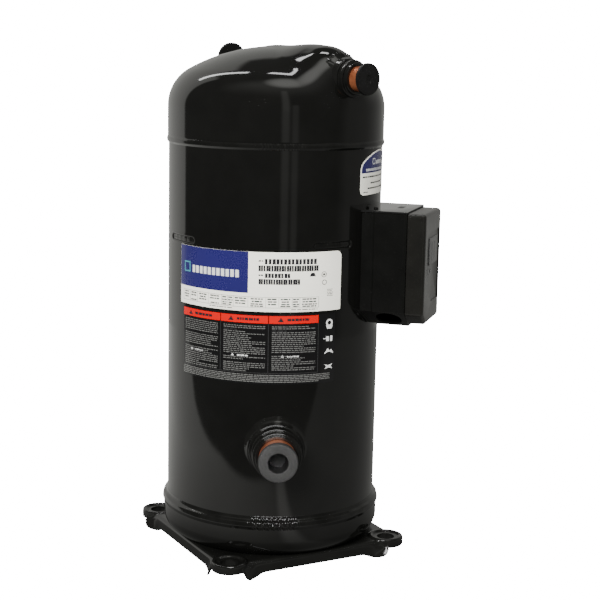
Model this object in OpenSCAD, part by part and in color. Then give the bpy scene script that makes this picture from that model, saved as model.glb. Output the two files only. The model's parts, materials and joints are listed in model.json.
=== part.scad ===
// Scroll compressor, hermetic, about 10 hp: shell, mounting plate, fittings, terminal box and all the works.
// Millimetres. +Z is up along the shell's axis. The origin is on that axis, level with the underside of the
// plate's four ears, so it is the centre of the mounting holes.

/* [Shell] */
// Outer diameter of the shell tube
shell_d = 230; // [220:1:240]
// Wall of the tube and caps
wall = 4; // [3:0.5:5]
// Height of the dome's crown over the ears' underside
crown_z = 533.5; // [530:0.5:540]
// Radius of the dome's crown
crown_r = 190; // [180:1:210]
// Radius of the dome's shoulder
shoulder_r = 45; // [40:1:50]
// Where the top cap's skirt ends
top_seam_z = 436; // [434:1:438]
// Rim of the bottom cap
bottom_rim_z = 41; // [38:1:44]

/* [Mounting plate] */
// Distance between the mounting holes, both ways
foot_pitch = 190.5; // [190.5:0.5:192]
// Diameter of a mounting hole
foot_hole_d = 19.05; // [18:0.05:20]
// Sheet thickness
plate_t = 3.5; // [3:0.5:4]
// Radius of an ear
ear_r = 19; // [18:0.5:20]
// Half the width of the square between the fold lines
fold_half = 104; // [103:0.5:105]
// How far the folded sides hang below the ears
flange_drop = 10; // [8:0.5:12]
// How far the lobes beside the ears hang below them
lobe_drop = 14; // [13:0.5:16]
// How far the ears' turned-down edges and the collars round the holes hang
ear_drop = 5; // [4.6:0.1:5.5]

/* [Fittings] */
// Direction of the suction fitting
suction_angle = -114.5; // [-120:0.5:-110]
// Height of the suction fitting
suction_z = 121; // [118:0.5:124]
// Outer diameter of the suction tube
suction_d = 38; // [36:0.5:39]
// Direction of the discharge fitting and of the dome's nose
discharge_angle = -75; // [-80:0.5:-70]
// Height of the discharge fitting
discharge_z = 502.5; // [500:0.5:504]
// Outer diameter of the discharge tube
discharge_d = 25.4; // [24:0.2:27]
// Radius of the dome's nose
nose_r = 33; // [31:0.5:34]
// Distance of the nose's round end from the shell's axis
nose_reach = 75; // [70:1:78]
// Direction of the lifting lug
lug_angle = 93.5; // [90:0.5:100]

/* [Terminal box] */
// Direction of the box
box_angle = -45; // [-50:1:-40]
// Near and far sides of the box
box_sides = [-40, 44];
// Underside and top of the box
box_z = [243.5, 367.5];
// Width and height of the cut-off lower near corner
box_chamfer = [26, 17.5];
// Distance of the box's front edge from the shell's axis
box_front = 156; // [154:1:158]
// Distance of the cover's front from the shell's axis
cover_front = 175.5; // [172.5:0.5:178]
// Diameter of the conduit hole
conduit_d = 27.8; // [27:0.2:28.6]

/* [Scrolls] */
// Radius of the orbit
orbit = 5.8; // [5:0.1:5.8]
// Pitch of the spiral walls
scroll_pitch = 20; // [20:0.5:21]
// Thickness of the spiral walls
scroll_t = 3.8; // [3:0.1:3.8]
// Height of the spiral walls
scroll_h = 44.4; // [40:0.2:44.4]
// Radius of the spiral walls' first arc
first_arc_r = 8; // [8:0.5:9]
// Half turns in a spiral wall
half_turns = 6; // [4:1:6]

/* [Motor] */
// Length of the stator and rotor stacks
stack_h = 122; // [110:1:122]
// Rotor radius
rotor_r = 60; // [58:0.5:60]
// Air gap between rotor and stator
air_gap = 0.5; // [0.4:0.1:0.8]
// Number of winding slots
slots = 24; // [18:6:24]

/* [Hidden] */
$fn = 96;

black = [0.05, 0.05, 0.055];
steel = [0.62, 0.63, 0.65];
iron = [0.36, 0.37, 0.38];
copper = [0.72, 0.42, 0.28];
aluminium = [0.78, 0.79, 0.8];
bronze = [0.65, 0.5, 0.28];
rubber_grey = [0.32, 0.31, 0.31];
paper = [0.88, 0.89, 0.9];

// Shell
shell_r = shell_d / 2;
shell_in = shell_r - 3.5;
cap_r = shell_r + 1.2;
pan_r = shell_r + wall;
pan_corner = 21;
weld_z = [432, 441];
label_t = 0.3;

// Works: everything inside is set out around this direction, that of one foot of the bearing housing
core_angle = 5;
post_angle = 45;
stack_z = 156;
end_ring_h = 10;
shaft_r = 18;
journal_r = 20;
tail_r = 15;
pin_r = 14;
pin_flat = 11;
fit = 0.05;
film = 0.2;
pocket_z = 336;
thrust_z = 366;
plate_z = thrust_z + film;
orbit_plate_h = 8;
wrap_z = plate_z + orbit_plate_h;
fixed_plate_z = wrap_z + scroll_h + 0.6;
fixed_top_z = 431;
key_w = 9;
key_slack = orbit + 0.4;
bush_travel = 1.2;
box_t = 2.5;
terminal_z = 312;

// ---- helpers ----

// Stands children, drawn along +X at the shell's axis, in a direction and at a height
module facing(angle, z) {
    rotate([0, 0, angle]) translate([0, 0, z]) children();
}

// A round bar along +X from x0 to x1
module bar(r, x0, x1) {
    translate([x0, 0, 0]) rotate([0, 90, 0]) cylinder(r = r, h = x1 - x0);
}

// A ring with a square section
module ring(r_in, r_out, z0, z1) {
    translate([0, 0, z0])
        difference() {
            cylinder(r = r_out, h = z1 - z0);
            translate([0, 0, -1]) cylinder(r = r_in, h = z1 - z0 + 2);
        }
}

// A wedge from the axis outwards, for cutting rings into sectors
module sector(from, to, r, z0, z1) {
    translate([0, 0, z0])
        linear_extrude(height = z1 - z0)
            polygon(concat([[0, 0]], [for (i = [0:8]) let(a = from + (to - from) * i / 8)
                [1.2 * r * cos(a), 1.2 * r * sin(a)]]));
}

// A thin sheet wrapped around the tube
module wrapped_sheet(from, to, z0, z1, lift = 0) {
    intersection() {
        ring(shell_r + lift, shell_r + lift + label_t, z0, z1);
        sector(from, to, shell_r, z0 - 1, z1 + 1);
    }
}

// The works' own frame
module works() {
    rotate([0, 0, core_angle]) children();
}

// The crank's eccentric axis, which at rest points along the works' +Y
module eccentric() {
    translate([0, orbit, 0]) children();
}

// A profile drawn as (across, up) in the terminal box's frame and extruded outwards from x0 to x1
module box_prism(x0, x1) {
    rotate([0, 0, box_angle])
        translate([x0, 0, 0])
            rotate([90, 0, 90])
                linear_extrude(height = x1 - x0) children();
}

// An upright rectangle with its lower near corner cut off, shrunk by an inset
module cut_corner(sides, levels, chamfer, inset) {
    shrink = inset * (chamfer[0] + chamfer[1] - norm(chamfer)) / (chamfer[0] * chamfer[1]);
    near = sides[0] + inset;
    far = sides[1] - inset;
    low = levels[0] + inset;
    high = levels[1] - inset;
    cut = chamfer * (1 - shrink);
    polygon([[near + cut[0], low], [far, low], [far, high], [near, high], [near, low + cut[1]]]);
}

// The box's outline, shrunk by an inset
module box_outline(inset) {
    cut_corner(box_sides, box_z, box_chamfer, inset);
}

// The cover's outline, shrunk by an inset
module cover_outline(inset) {
    cut_corner(box_sides + [2, -2], box_z + [2, -2], [16, 13], inset);
}

// ---- shell ----

module mounting_plate() {
    half_pitch = foot_pitch / 2;
    lobe_at = 73;
    lobe_r = 12;
    hole_collar_r = 12.2;
    color(black)
        difference() {
            union() {
                translate([-fold_half, -fold_half, 0]) cube([2 * fold_half, 2 * fold_half, plate_t]);
                for (x = [-1, 1], y = [-1, 1])
                    translate([x * half_pitch, y * half_pitch, 0]) {
                        cylinder(r = ear_r, h = plate_t + 1.5);
                        ring(foot_hole_d / 2, hole_collar_r, -ear_drop, 1);
                    }
                difference() {
                    for (x = [-1, 1], y = [-1, 1])
                        translate([x * half_pitch, y * half_pitch, 0]) ring(ear_r - 2.5, ear_r, -ear_drop, 1);
                    translate([-fold_half, -fold_half, -10]) cube([2 * fold_half, 2 * fold_half, 20]);
                }
                difference() {
                    for (side = [0:90:270])
                        rotate([0, 0, side])
                            translate([fold_half, 0, 0]) {
                                translate([-0.5, -lobe_at, -flange_drop])
                                    cube([plate_t + 0.5, 2 * lobe_at, flange_drop + plate_t]);
                                for (end = [-1, 1])
                                    translate([-0.5, end * lobe_at, lobe_r - lobe_drop])
                                        rotate([0, 90, 0])
                                            cylinder(r = lobe_r, h = plate_t + 4);
                            }
                    translate([-150, -150, plate_t]) cube([300, 300, 20]);
                }
            }
            for (x = [-1, 1], y = [-1, 1])
                translate([x * half_pitch, y * half_pitch, 0]) {
                    translate([0, 0, -ear_drop - 1]) cylinder(d = foot_hole_d, h = ear_drop + 10);
                    translate([0, 0, plate_t - 0.6]) cylinder(r = 14, h = 3);
                }
        }
}

// The bottom cap's solid, shrunk by an inset
module pan_solid(inset, top) {
    corner = pan_corner - inset;
    low = plate_t + inset;
    translate([0, 0, low]) cylinder(r = pan_r - pan_corner, h = top - low);
    translate([0, 0, plate_t + pan_corner]) cylinder(r = pan_r - inset, h = top - plate_t - pan_corner);
    translate([0, 0, plate_t + pan_corner])
        rotate_extrude()
            translate([pan_r - pan_corner, 0])
                intersection() {
                    circle(r = corner);
                    translate([0, -corner]) square(corner);
                }
}

module bottom_cap() {
    color(black)
        difference() {
            pan_solid(0, bottom_rim_z);
            pan_solid(wall, bottom_rim_z + 1);
        }
}

module bottom_seam_weld() {
    color(black)
        difference() {
            translate([0, 0, bottom_rim_z])
                rotate_extrude() translate([shell_r + 0.5, 0]) circle(r = 5, $fn = 24);
            translate([0, 0, bottom_rim_z - 10]) cylinder(r = shell_r, h = 20);
            ring(shell_r - 1, pan_r, bottom_rim_z - 8, bottom_rim_z);
        }
}

module shell_tube() {
    color(black)
        difference() {
            ring(shell_in, shell_r, plate_t + pan_corner + 2, weld_z[0]);
            facing(suction_angle, suction_z) bar(suction_d / 2, 100, 130);
            facing(box_angle, terminal_z) bar(19, 100, 130);
            works() plug_weld_shapes(shell_in - 2, shell_r + 2);
        }
}

// The four obround plug welds that hold the bearing housing's feet
module plug_weld_shapes(r0, r1) {
    weld_half = 20;
    weld_h = 8;
    intersection() {
        ring(r0, r1, 320, 346);
        for (a = [0:90:270])
            rotate([0, 0, a])
                translate([0, 0, 333.5]) {
                    translate([0, -weld_half, -weld_h / 2]) cube([130, 2 * weld_half, weld_h]);
                    for (end = [-1, 1])
                        translate([0, end * weld_half, 0]) bar(weld_h / 2, 0, 130);
                }
    }
}

module plug_welds() {
    color(black) works() plug_weld_shapes(shell_in, shell_r - 0.9);
}

// The top cap's solid, shrunk by an inset: skirt, shoulder, crown and nose
module dome_solid(inset, low) {
    shoulder_at = cap_r - shoulder_r;
    crown_centre = crown_z - crown_r;
    shoulder_z = crown_centre + sqrt(pow(crown_r - shoulder_r, 2) - pow(shoulder_at, 2));
    tangent_r = shoulder_at * crown_r / (crown_r - shoulder_r) - inset * 0.49;
    translate([0, 0, low]) cylinder(r = cap_r - inset, h = shoulder_z - low);
    translate([0, 0, shoulder_z])
        rotate_extrude()
            translate([shoulder_at, 0])
                intersection() {
                    circle(r = shoulder_r - inset);
                    square(shoulder_r);
                }
    intersection() {
        translate([0, 0, crown_centre]) sphere(r = crown_r - inset, $fn = 192);
        translate([0, 0, low]) cylinder(r = tangent_r, h = 200);
    }
    facing(discharge_angle, discharge_z) {
        bar(nose_r - inset, 0, nose_reach);
        translate([nose_reach, 0, 0]) sphere(r = nose_r - inset);
    }
}

module top_cap() {
    color(black)
        difference() {
            dome_solid(0, top_seam_z);
            dome_solid(wall, top_seam_z - 1);
            facing(discharge_angle, discharge_z) bar(discharge_d / 2, 80, 130);
        }
}

module top_seam_weld() {
    color(black)
        difference() {
            ring(shell_r, cap_r + 1, weld_z[0] - 2, weld_z[1]);
            translate([0, 0, top_seam_z]) cylinder(r = cap_r, h = 20);
            translate([0, 0, weld_z[0]]) cylinder(r = cap_r - 0.4, h = 20);
        }
}

module lifting_lug() {
    lug_w = 34;
    lug_t = 5;
    lug_at = 98;
    lug_top = 536.5;
    eye_z = lug_top - lug_w / 2 - 0.5;
    eye_r = 6;
    color(black)
        rotate([0, 0, lug_angle])
            difference() {
                union() {
                    translate([lug_at, 0, lug_top - lug_w / 2]) bar(lug_w / 2, 0, lug_t);
                    translate([lug_at, -lug_w / 2, 485]) cube([lug_t, lug_w, lug_top - lug_w / 2 - 485]);
                }
                translate([lug_at, 0, eye_z]) bar(eye_r, -2, lug_t + 2);
                rotate([0, 0, -lug_angle]) dome_solid(0, top_seam_z);
            }
}

// ---- fittings ----

module suction_collar() {
    tube_r = suction_d / 2;
    color(black)
        facing(suction_angle, suction_z)
            difference() {
                union() {
                    bar(29, 106, 120);
                    bar(26.5, 119, 128);
                    bar(24, 127, 137);
                    bar(25.5, 136, 142);
                    bar(23.5, 141, 143.5);
                }
                bar(tube_r, 100, 160);
                translate([0, 0, -60]) cylinder(r = shell_r, h = 120);
            }
}

module suction_stub() {
    tube_r = suction_d / 2;
    color(copper)
        facing(suction_angle, suction_z)
            difference() {
                bar(tube_r, 109, 157.6);
                bar(tube_r - 1.6, 100, 170);
            }
}

module suction_plug() {
    tube_r = suction_d / 2;
    color(rubber_grey)
        facing(suction_angle, suction_z)
            difference() {
                union() {
                    bar(tube_r + 1.4, 157.8, 165);
                    bar(tube_r - 1.7, 140, 158);
                }
                bar(10, 146, 170);
            }
}

module suction_baffle() {
    color(steel)
        facing(suction_angle, suction_z)
            difference() {
                intersection() {
                    translate([0, -26, -28]) cube([shell_in, 52, 34]);
                    translate([0, 0, -30]) cylinder(r = shell_in, h = 60);
                }
                translate([0, -24, -29]) cube([102, 60, 60]);
                translate([0, -40, -30]) cube([100, 80, 60]);
                translate([103.5, -24, -26.5]) cube([20, 48, 60]);
            }
}

module discharge_collar() {
    tube_r = discharge_d / 2;
    color(black)
        facing(discharge_angle, discharge_z)
            difference() {
                union() {
                    bar(20.5, 98, 111);
                    bar(18, 110, 115);
                    bar(19, 114, 118);
                    bar(16.5, 117, 122);
                }
                bar(tube_r, 90, 130);
                rotate([0, 0, -discharge_angle]) translate([0, 0, -discharge_z]) dome_solid(0, top_seam_z);
            }
}

module discharge_stub() {
    tube_r = discharge_d / 2;
    color(copper)
        facing(discharge_angle, discharge_z)
            difference() {
                bar(tube_r, 97, 133.4);
                bar(tube_r - 1.3, 90, 140);
            }
}

module discharge_plug() {
    tube_r = discharge_d / 2;
    color(black)
        facing(discharge_angle, discharge_z)
            difference() {
                union() {
                    bar(tube_r + 3.6, 133.6, 137.5);
                    bar(tube_r - 1.4, 119, 134);
                }
                bar(3.5, 136, 140);
            }
}

// ---- terminal box ----

module terminal_box() {
    color(black)
        difference() {
            union() {
                box_prism(96, box_front)
                    difference() {
                        box_outline(0);
                        box_outline(box_t);
                    }
                box_prism(118, 120.5) box_outline(1);
                box_prism(112, box_front)
                    translate([box_sides[0] - 1, box_z[1] - 2]) square([box_sides[1] - box_sides[0] + 2, 2]);
            }
            translate([0, 0, 200]) cylinder(r = shell_r, h = 200);
            facing(box_angle, terminal_z) bar(23, 100, 130);
            facing(box_angle, 0)
                translate([137, box_sides[0] + box_chamfer[0] / 2, box_z[0] + box_chamfer[1] / 2])
                    rotate([-atan2(box_chamfer[1], box_chamfer[0]), 0, 0])
                        translate([0, 0, -8]) cylinder(d = conduit_d, h = 16);
            box_stud_places() bar(3, 100, 130);
        }
}

module box_stud_places() {
    for (z = [266, 352])
        facing(box_angle, z) translate([0, 24, 0]) children();
}

module terminal_box_cover() {
    back = box_front + 0.2;
    face_t = 3.5;
    recess_t = 1.2;
    color([0.07, 0.07, 0.075]) {
        box_prism(back, cover_front)
            difference() {
                cover_outline(0);
                cover_outline(box_t);
            }
        box_prism(cover_front - face_t, cover_front)
            difference() {
                cover_outline(1);
                cut_corner([-24, 37], [269.5, 344.5], box_chamfer, 0);
            }
        box_prism(cover_front - face_t, cover_front - recess_t) cover_outline(1);
        box_prism(cover_front - face_t, cover_front - recess_t / 2)
            translate([-11, 310]) square([40, 28]);
    }
}

module box_studs() {
    color(steel)
        box_stud_places() {
            bar(2.9, 113, 127);
            translate([120.5, 0, 0]) rotate([0, 90, 0]) cylinder(r = 5.8, h = 4, $fn = 6);
        }
}

module terminal_housing() {
    color(steel)
        difference() {
            facing(box_angle, terminal_z) {
                difference() {
                    bar(19, 107, 121);
                    bar(17, 109, 122);
                }
                difference() {
                    bar(22, 116.2, 118);
                    bar(18, 112, 119);
                }
            }
            pin_places() bar(2.4, 90, 140);
        }
}

// Three pins on a circle, in the terminal's frame
module pin_places() {
    for (a = [90:120:330])
        facing(box_angle, terminal_z) rotate([a, 0, 0]) translate([0, 0, 9.5]) children();
}

module terminal_pins() {
    color(copper)
        pin_places() {
            bar(2.4, 98, 136);
            translate([131, 0, 0]) rotate([0, 90, 0]) cylinder(r = 4, h = 3, $fn = 6);
        }
}

module terminal_block() {
    color([0.16, 0.15, 0.14])
        difference() {
            union() {
                facing(box_angle, terminal_z) bar(16.9, 109, 125);
                pin_places() bar(7, 124, 129);
            }
            pin_places() bar(2.4, 90, 140);
        }
}

module ground_screw() {
    color(bronze)
        facing(box_angle, 350) translate([0, -26, 0]) {
            bar(2.5, 120.5, 128);
            bar(5.5, 125, 128.5);
        }
}

module motor_lead_block() {
    color([0.85, 0.84, 0.8])
        difference() {
            facing(box_angle, terminal_z) translate([97.5, -15, -6.5]) cube([7, 30, 21]);
            pin_places() bar(2.4, 90, 140);
        }
}

// ---- labels ----

module nameplate() {
    color(paper) wrapped_sheet(-174.5, -80.2, 266.5, 328);
}

module info_label() {
    color([0.08, 0.08, 0.08]) wrapped_sheet(-171.4, -83.2, 190.5, 263);
}

// The round-topped label's outline: straight sides, small lower corners, and a shallow arch with rounded ends
module arched_outline(half_w, low, high) {
    foot_r = 5;
    end_r = 11;
    arch_r = 73.9;
    arch_z = high - arch_r;
    end_at = half_w - end_r;
    end_z = arch_z + sqrt(pow(arch_r - end_r, 2) - pow(end_at, 2));
    meets = atan2(end_z - arch_z, end_at);
    polygon(concat(
        [for (a = [180:18:270]) [foot_r - half_w + foot_r * cos(a), low + foot_r + foot_r * sin(a)]],
        [for (a = [270:18:360]) [half_w - foot_r + foot_r * cos(a), low + foot_r + foot_r * sin(a)]],
        [for (i = [0:5]) let(a = meets * i / 6) [end_at + end_r * cos(a), end_z + end_r * sin(a)]],
        [for (i = [0:12]) let(a = meets + (90 - meets) * i / 6) [arch_r * cos(a), arch_z + arch_r * sin(a)]],
        [for (i = [1:6]) let(a = 180 - meets + meets * i / 6) [end_r * cos(a) - end_at, end_z + end_r * sin(a)]]
    ));
}

module round_label() {
    low = 382.6;
    high = 428.6;
    color(paper)
        intersection() {
            ring(shell_r, shell_r + label_t, low, high);
            box_prism(90, 130) arched_outline(43.5, low, high);
        }
}

// ---- compression works ----

module muffler_plate() {
    color(steel)
        difference() {
            union() {
                translate([0, 0, weld_z[0]]) cylinder(r = cap_r - 0.4, h = top_seam_z - weld_z[0]);
                translate([0, 0, top_seam_z]) cylinder(r1 = 98, r2 = 64, h = 19);
            }
            translate([0, 0, weld_z[0] - 0.01]) cylinder(r1 = 97, r2 = 62, h = 18.01);
            translate([0, 0, 440]) cylinder(r = 12, h = 30);
        }
}

module valve_cage() {
    color(steel) {
        ring(12, 24, 455, 458);
        for (a = [0:120:240])
            rotate([0, 0, a]) translate([19.5, -3, 457.9]) cube([4, 6, 8.2]);
        ring(5, 24, 466, 468.5);
    }
}

module valve_disc() {
    color([0.5, 0.51, 0.55]) translate([0, 0, 458.1]) cylinder(r = 15, h = 1.6);
}

module floating_seal() {
    color(aluminium) {
        ring(25.3, 51.7, fixed_top_z + 0.3, 437.6);
        ring(27, 31, 437.5, 447.5);
        ring(44, 47, 437.5, 443);
    }
}

// One spiral wall: half rings about two centres in turn, which keeps the pitch even all the way round.
// The first is only a quarter, so that the mating wall's end passes it.
module spiral_wall(z0, h) {
    step = scroll_pitch / 2;
    translate([0, 0, z0])
        linear_extrude(height = h)
            for (i = [0:half_turns - 1])
                let(side = i % 2 == 0 ? 1 : -1, r = first_arc_r + i * step)
                    translate([side * step / 2, 0])
                        intersection() {
                            difference() {
                                circle(r = r + scroll_t / 2);
                                circle(r = r - scroll_t / 2);
                            }
                            translate([i == 0 ? 0 : -100, side > 0 ? 0 : -100]) square([200, 100]);
                        }
}

// Places of the four posts and bolts that join the housing and the fixed scroll
module post_places() {
    for (a = [0:90:270]) rotate([0, 0, a + post_angle]) translate([98, 0, 0]) children();
}

module fixed_scroll() {
    chamber_r = 71.5;
    body_r = 91;
    color(iron)
        works()
            difference() {
                union() {
                    ring(chamber_r, body_r, wrap_z + 0.4, fixed_top_z);
                    translate([0, 0, fixed_plate_z])
                        cylinder(r = chamber_r + 1, h = fixed_top_z - fixed_plate_z);
                    spiral_wall(wrap_z + 0.4, scroll_h + 1);
                    ring(19, 25, fixed_top_z - 0.1, 445);
                    ring(52, 57, fixed_top_z - 0.1, 445);
                    post_places() translate([0, 0, wrap_z + 0.4]) cylinder(r = 11, h = 11.4);
                    for (a = [0:90:270])
                        rotate([0, 0, a + post_angle])
                            translate([80, -11, wrap_z + 0.4]) cube([18, 22, 11.4]);
                }
                post_places() translate([0, 0, 360]) cylinder(r = 6.08, h = 60);
                translate([0, 0, 400]) cylinder(r = 8, h = 60);
                for (a = [10, 190])
                    rotate([0, 0, a]) translate([60, -20, wrap_z + 8]) cube([40, 40, 28]);
            }
}

module scroll_bolts() {
    color(steel)
        works() post_places() {
            translate([0, 0, 350]) cylinder(r = 4, h = 38);
            translate([0, 0, wrap_z + 0.1]) cylinder(r = 6, h = 13);
            translate([0, 0, wrap_z + 13.1]) rotate([0, 0, 30]) cylinder(r = 7.6, h = 7, $fn = 6);
        }
}

module orbiting_scroll() {
    hub_r = 28;
    plate_r = 78;
    color(iron)
        works() eccentric()
            difference() {
                union() {
                    translate([0, 0, plate_z]) cylinder(r = plate_r, h = orbit_plate_h);
                    rotate([0, 0, 180]) spiral_wall(wrap_z - 0.1, scroll_h);
                    translate([0, 0, pocket_z + 1.5]) cylinder(r = hub_r, h = plate_z - pocket_z);
                }
                translate([0, 0, pocket_z]) cylinder(r = 24.5, h = 28);
                for (side = [-1, 1])
                    translate([-key_w / 2 - key_slack, side > 0 ? 57.5 : -97.5, plate_z - 1])
                        cube([key_w + 2 * key_slack, 40, 6]);
            }
}

module scroll_bearing() {
    color(bronze) works() eccentric() ring(22, 24.5, pocket_z + 2, pocket_z + 27);
}

// The hole in the bush: the crank pin's outline, stretched along the way the bush slides on the pin's flat
module bush_hole() {
    r = pin_r + fit;
    stretch = bush_travel + 0.1;
    difference() {
        union() {
            circle(r = r);
            translate([0, stretch]) circle(r = r);
            translate([-r, 0]) square([2 * r, stretch]);
        }
        translate([pin_flat + fit, -30]) square([20, 60]);
    }
}

module drive_bush() {
    color(steel)
        works() eccentric()
            translate([0, 0, pocket_z + 2])
                difference() {
                    cylinder(r = 22 - fit, h = 25);
                    translate([0, 0, -1])
                        linear_extrude(height = 30) bush_hole();
                }
}

module oldham_ring() {
    color(aluminium)
        works() {
            ring(64, 84, 357, 362);
            for (side = [-1, 1]) {
                translate([side > 0 ? 68 : -80, -key_w / 2, 350.5]) cube([12, key_w, 7]);
                translate([-key_w / 2, side > 0 ? 66 : -76, 361.9]) cube([key_w, 10, 9]);
            }
        }
}

module main_bearing_housing() {
    floor_z = 356.5;
    leg_half = 23;
    color(iron)
        works()
            difference() {
                union() {
                    translate([0, 0, 299.5]) cylinder(r = 33, h = 40);
                    translate([0, 0, 328]) cylinder(r = 50, h = 20);
                    translate([0, 0, 344]) cylinder(r = 104, h = floor_z - 344);
                    translate([0, 0, 344]) cylinder(r = 57.5, h = thrust_z - 344);
                    ring(91, 104, floor_z - 0.1, 362);
                    intersection() {
                        ring(92, 104, floor_z - 0.1, wrap_z + 0.1);
                        for (a = [0:90:270])
                            rotate([0, 0, a + post_angle]) translate([80, -13, 340]) cube([30, 26, 50]);
                    }
                    intersection() {
                        translate([0, 0, 322]) cylinder(r = shell_in, h = 26);
                        for (a = [0:90:270])
                            rotate([0, 0, a]) translate([30, -leg_half, 322]) cube([90, 2 * leg_half, 26]);
                    }
                }
                translate([0, 0, 290]) cylinder(r = journal_r + 2.5, h = 60);
                translate([0, 0, pocket_z]) cylinder(r = 36, h = 40);
                for (side = [-1, 1])
                    translate([side > 0 ? 61.5 : -86.5, -key_w / 2 - 0.1, 350])
                        cube([25, key_w + 0.2, 10]);
                post_places() translate([0, 0, 350]) cylinder(r = 4, h = 40);
            }
}

module main_bearing() {
    color(bronze) works() ring(journal_r + fit, journal_r + 2.5, 300, 335);
}

// ---- crank and motor ----

module crankshaft() {
    color(steel)
        works()
            difference() {
                union() {
                    translate([0, 0, 62]) cylinder(r = tail_r, h = 29);
                    translate([0, 0, 90]) cylinder(r = shaft_r, h = 201);
                    translate([0, 0, 290]) cylinder(r = journal_r, h = pocket_z - 290);
                    translate([0, orbit, pocket_z - 0.1])
                        difference() {
                            cylinder(r = pin_r, h = 27);
                            translate([pin_flat, -30, 0.1]) cube([20, 60, 30]);
                        }
                }
                translate([0, 0, 60]) cylinder(r = 6.5, h = 60);
                translate([0, 3, 110]) cylinder(r = 2.6, h = 300);
            }
}

module upper_counterweight() {
    color(iron)
        works()
            difference() {
                union() {
                    ring(journal_r, 40, 290, 298);
                    intersection() {
                        ring(38, 66, 290, 318);
                        sector(185, 355, 70, 280, 330);
                    }
                }
                translate([0, 0, 280]) cylinder(r = journal_r, h = 60);
            }
}

module rotor_core() {
    color([0.5, 0.5, 0.52]) ring(shaft_r, rotor_r, stack_z, stack_z + stack_h);
}

module rotor_end_rings() {
    color(aluminium)
        for (low = [stack_z - end_ring_h, stack_z + stack_h])
            ring(36, 57, low, low + end_ring_h);
}

module lower_counterweight() {
    color(iron)
        works()
            intersection() {
                ring(37, 56, stack_z - end_ring_h - 16, stack_z - end_ring_h);
                sector(10, 170, 60, 120, 150);
            }
}

module stator_core() {
    bore_r = rotor_r + air_gap;
    color([0.5, 0.5, 0.52])
        works()
            difference() {
                ring(bore_r, shell_in, stack_z, stack_z + stack_h);
                for (i = [0:slots - 1])
                    rotate([0, 0, i * 360 / slots]) {
                        translate([63, -4, stack_z - 1]) cube([24, 8, stack_h + 2]);
                        translate([bore_r - 2, -1.5, stack_z - 1]) cube([6, 3, stack_h + 2]);
                    }
                for (a = [0:45:315])
                    rotate([0, 0, a + 22.5]) translate([106, -18, stack_z - 1]) cube([20, 36, stack_h + 2]);
            }
}

// A bundle of wire bent round the bore at one end of the stack
module end_turn(z0, h) {
    r_in = 71;
    r_out = 96;
    edge = 8;
    translate([0, 0, z0])
        rotate_extrude() {
            translate([r_in + edge, 0]) square([r_out - r_in - 2 * edge, h]);
            translate([r_in, edge]) square([r_out - r_in, h - 2 * edge]);
            for (r = [r_in + edge, r_out - edge], z = [edge, h - edge])
                translate([r, z]) circle(r = edge, $fn = 24);
        }
}

module stator_windings() {
    color([0.6, 0.3, 0.16])
        works() {
            for (i = [0:slots - 1])
                rotate([0, 0, i * 360 / slots])
                    translate([64, -3.6, stack_z - 6]) cube([22, 7.2, stack_h + 12]);
            end_turn(stack_z - 25, 24.5);
            end_turn(stack_z + stack_h + 0.5, 23.5);
        }
}

module motor_protector() {
    color([0.75, 0.73, 0.68])
        rotate([0, 0, 150]) translate([76, -14, stack_z + stack_h + 24]) cube([16, 28, 8]);
}

module lower_bearing_bracket() {
    color(steel)
        works()
            difference() {
                union() {
                    translate([0, 0, 64]) cylinder(r = 26, h = 24);
                    intersection() {
                        translate([0, 0, 56]) cylinder(r = shell_in, h = 34);
                        for (a = [30:120:270])
                            rotate([0, 0, a]) {
                                translate([20, -14, 66]) cube([100, 28, 7]);
                                translate([105, -20, 56]) cube([10, 40, 34]);
                            }
                    }
                }
                translate([0, 0, 50]) cylinder(r = tail_r + 2, h = 50);
            }
}

module lower_bearing() {
    color(bronze) ring(tail_r + fit, tail_r + 2, 64, 88);
}

module thrust_washer() {
    color(bronze) ring(tail_r + 0.3, 24, 88, 89.8);
}

module oil_pickup() {
    color(steel)
        difference() {
            union() {
                translate([0, 0, 44]) cylinder(r = 6.5, h = 40);
                translate([0, 0, 34]) cylinder(r1 = 4.5, r2 = 6.5, h = 10);
                translate([0, 0, 58]) cylinder(r = 13, h = 4);
            }
            translate([0, 0, 43]) cylinder(r = 5, h = 50);
            translate([0, 0, 30]) cylinder(r = 3, h = 20);
        }
}

module sump_magnet() {
    color([0.3, 0.3, 0.32])
        translate([0, 0, plate_t + wall]) rotate([0, 0, 60]) translate([45, 0, 0]) cylinder(r = 14, h = 6);
}

mounting_plate();
bottom_cap();
bottom_seam_weld();
shell_tube();
plug_welds();
top_cap();
top_seam_weld();
lifting_lug();
suction_collar();
suction_stub();
suction_plug();
suction_baffle();
discharge_collar();
discharge_stub();
discharge_plug();
terminal_box();
terminal_box_cover();
box_studs();
terminal_housing();
terminal_pins();
terminal_block();
ground_screw();
motor_lead_block();
nameplate();
info_label();
round_label();
muffler_plate();
valve_cage();
valve_disc();
floating_seal();
fixed_scroll();
scroll_bolts();
orbiting_scroll();
scroll_bearing();
drive_bush();
oldham_ring();
main_bearing_housing();
main_bearing();
crankshaft();
upper_counterweight();
rotor_core();
rotor_end_rings();
lower_counterweight();
stator_core();
stator_windings();
motor_protector();
lower_bearing_bracket();
lower_bearing();
thrust_washer();
oil_pickup();
sump_magnet();
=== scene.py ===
"""Scroll compressor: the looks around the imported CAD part. Lengths in the geometry helpers are in millimetres."""

import json
import math

import bmesh
import bpy
import numpy as np
from mathutils import Matrix, Quaternion, Vector


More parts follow.
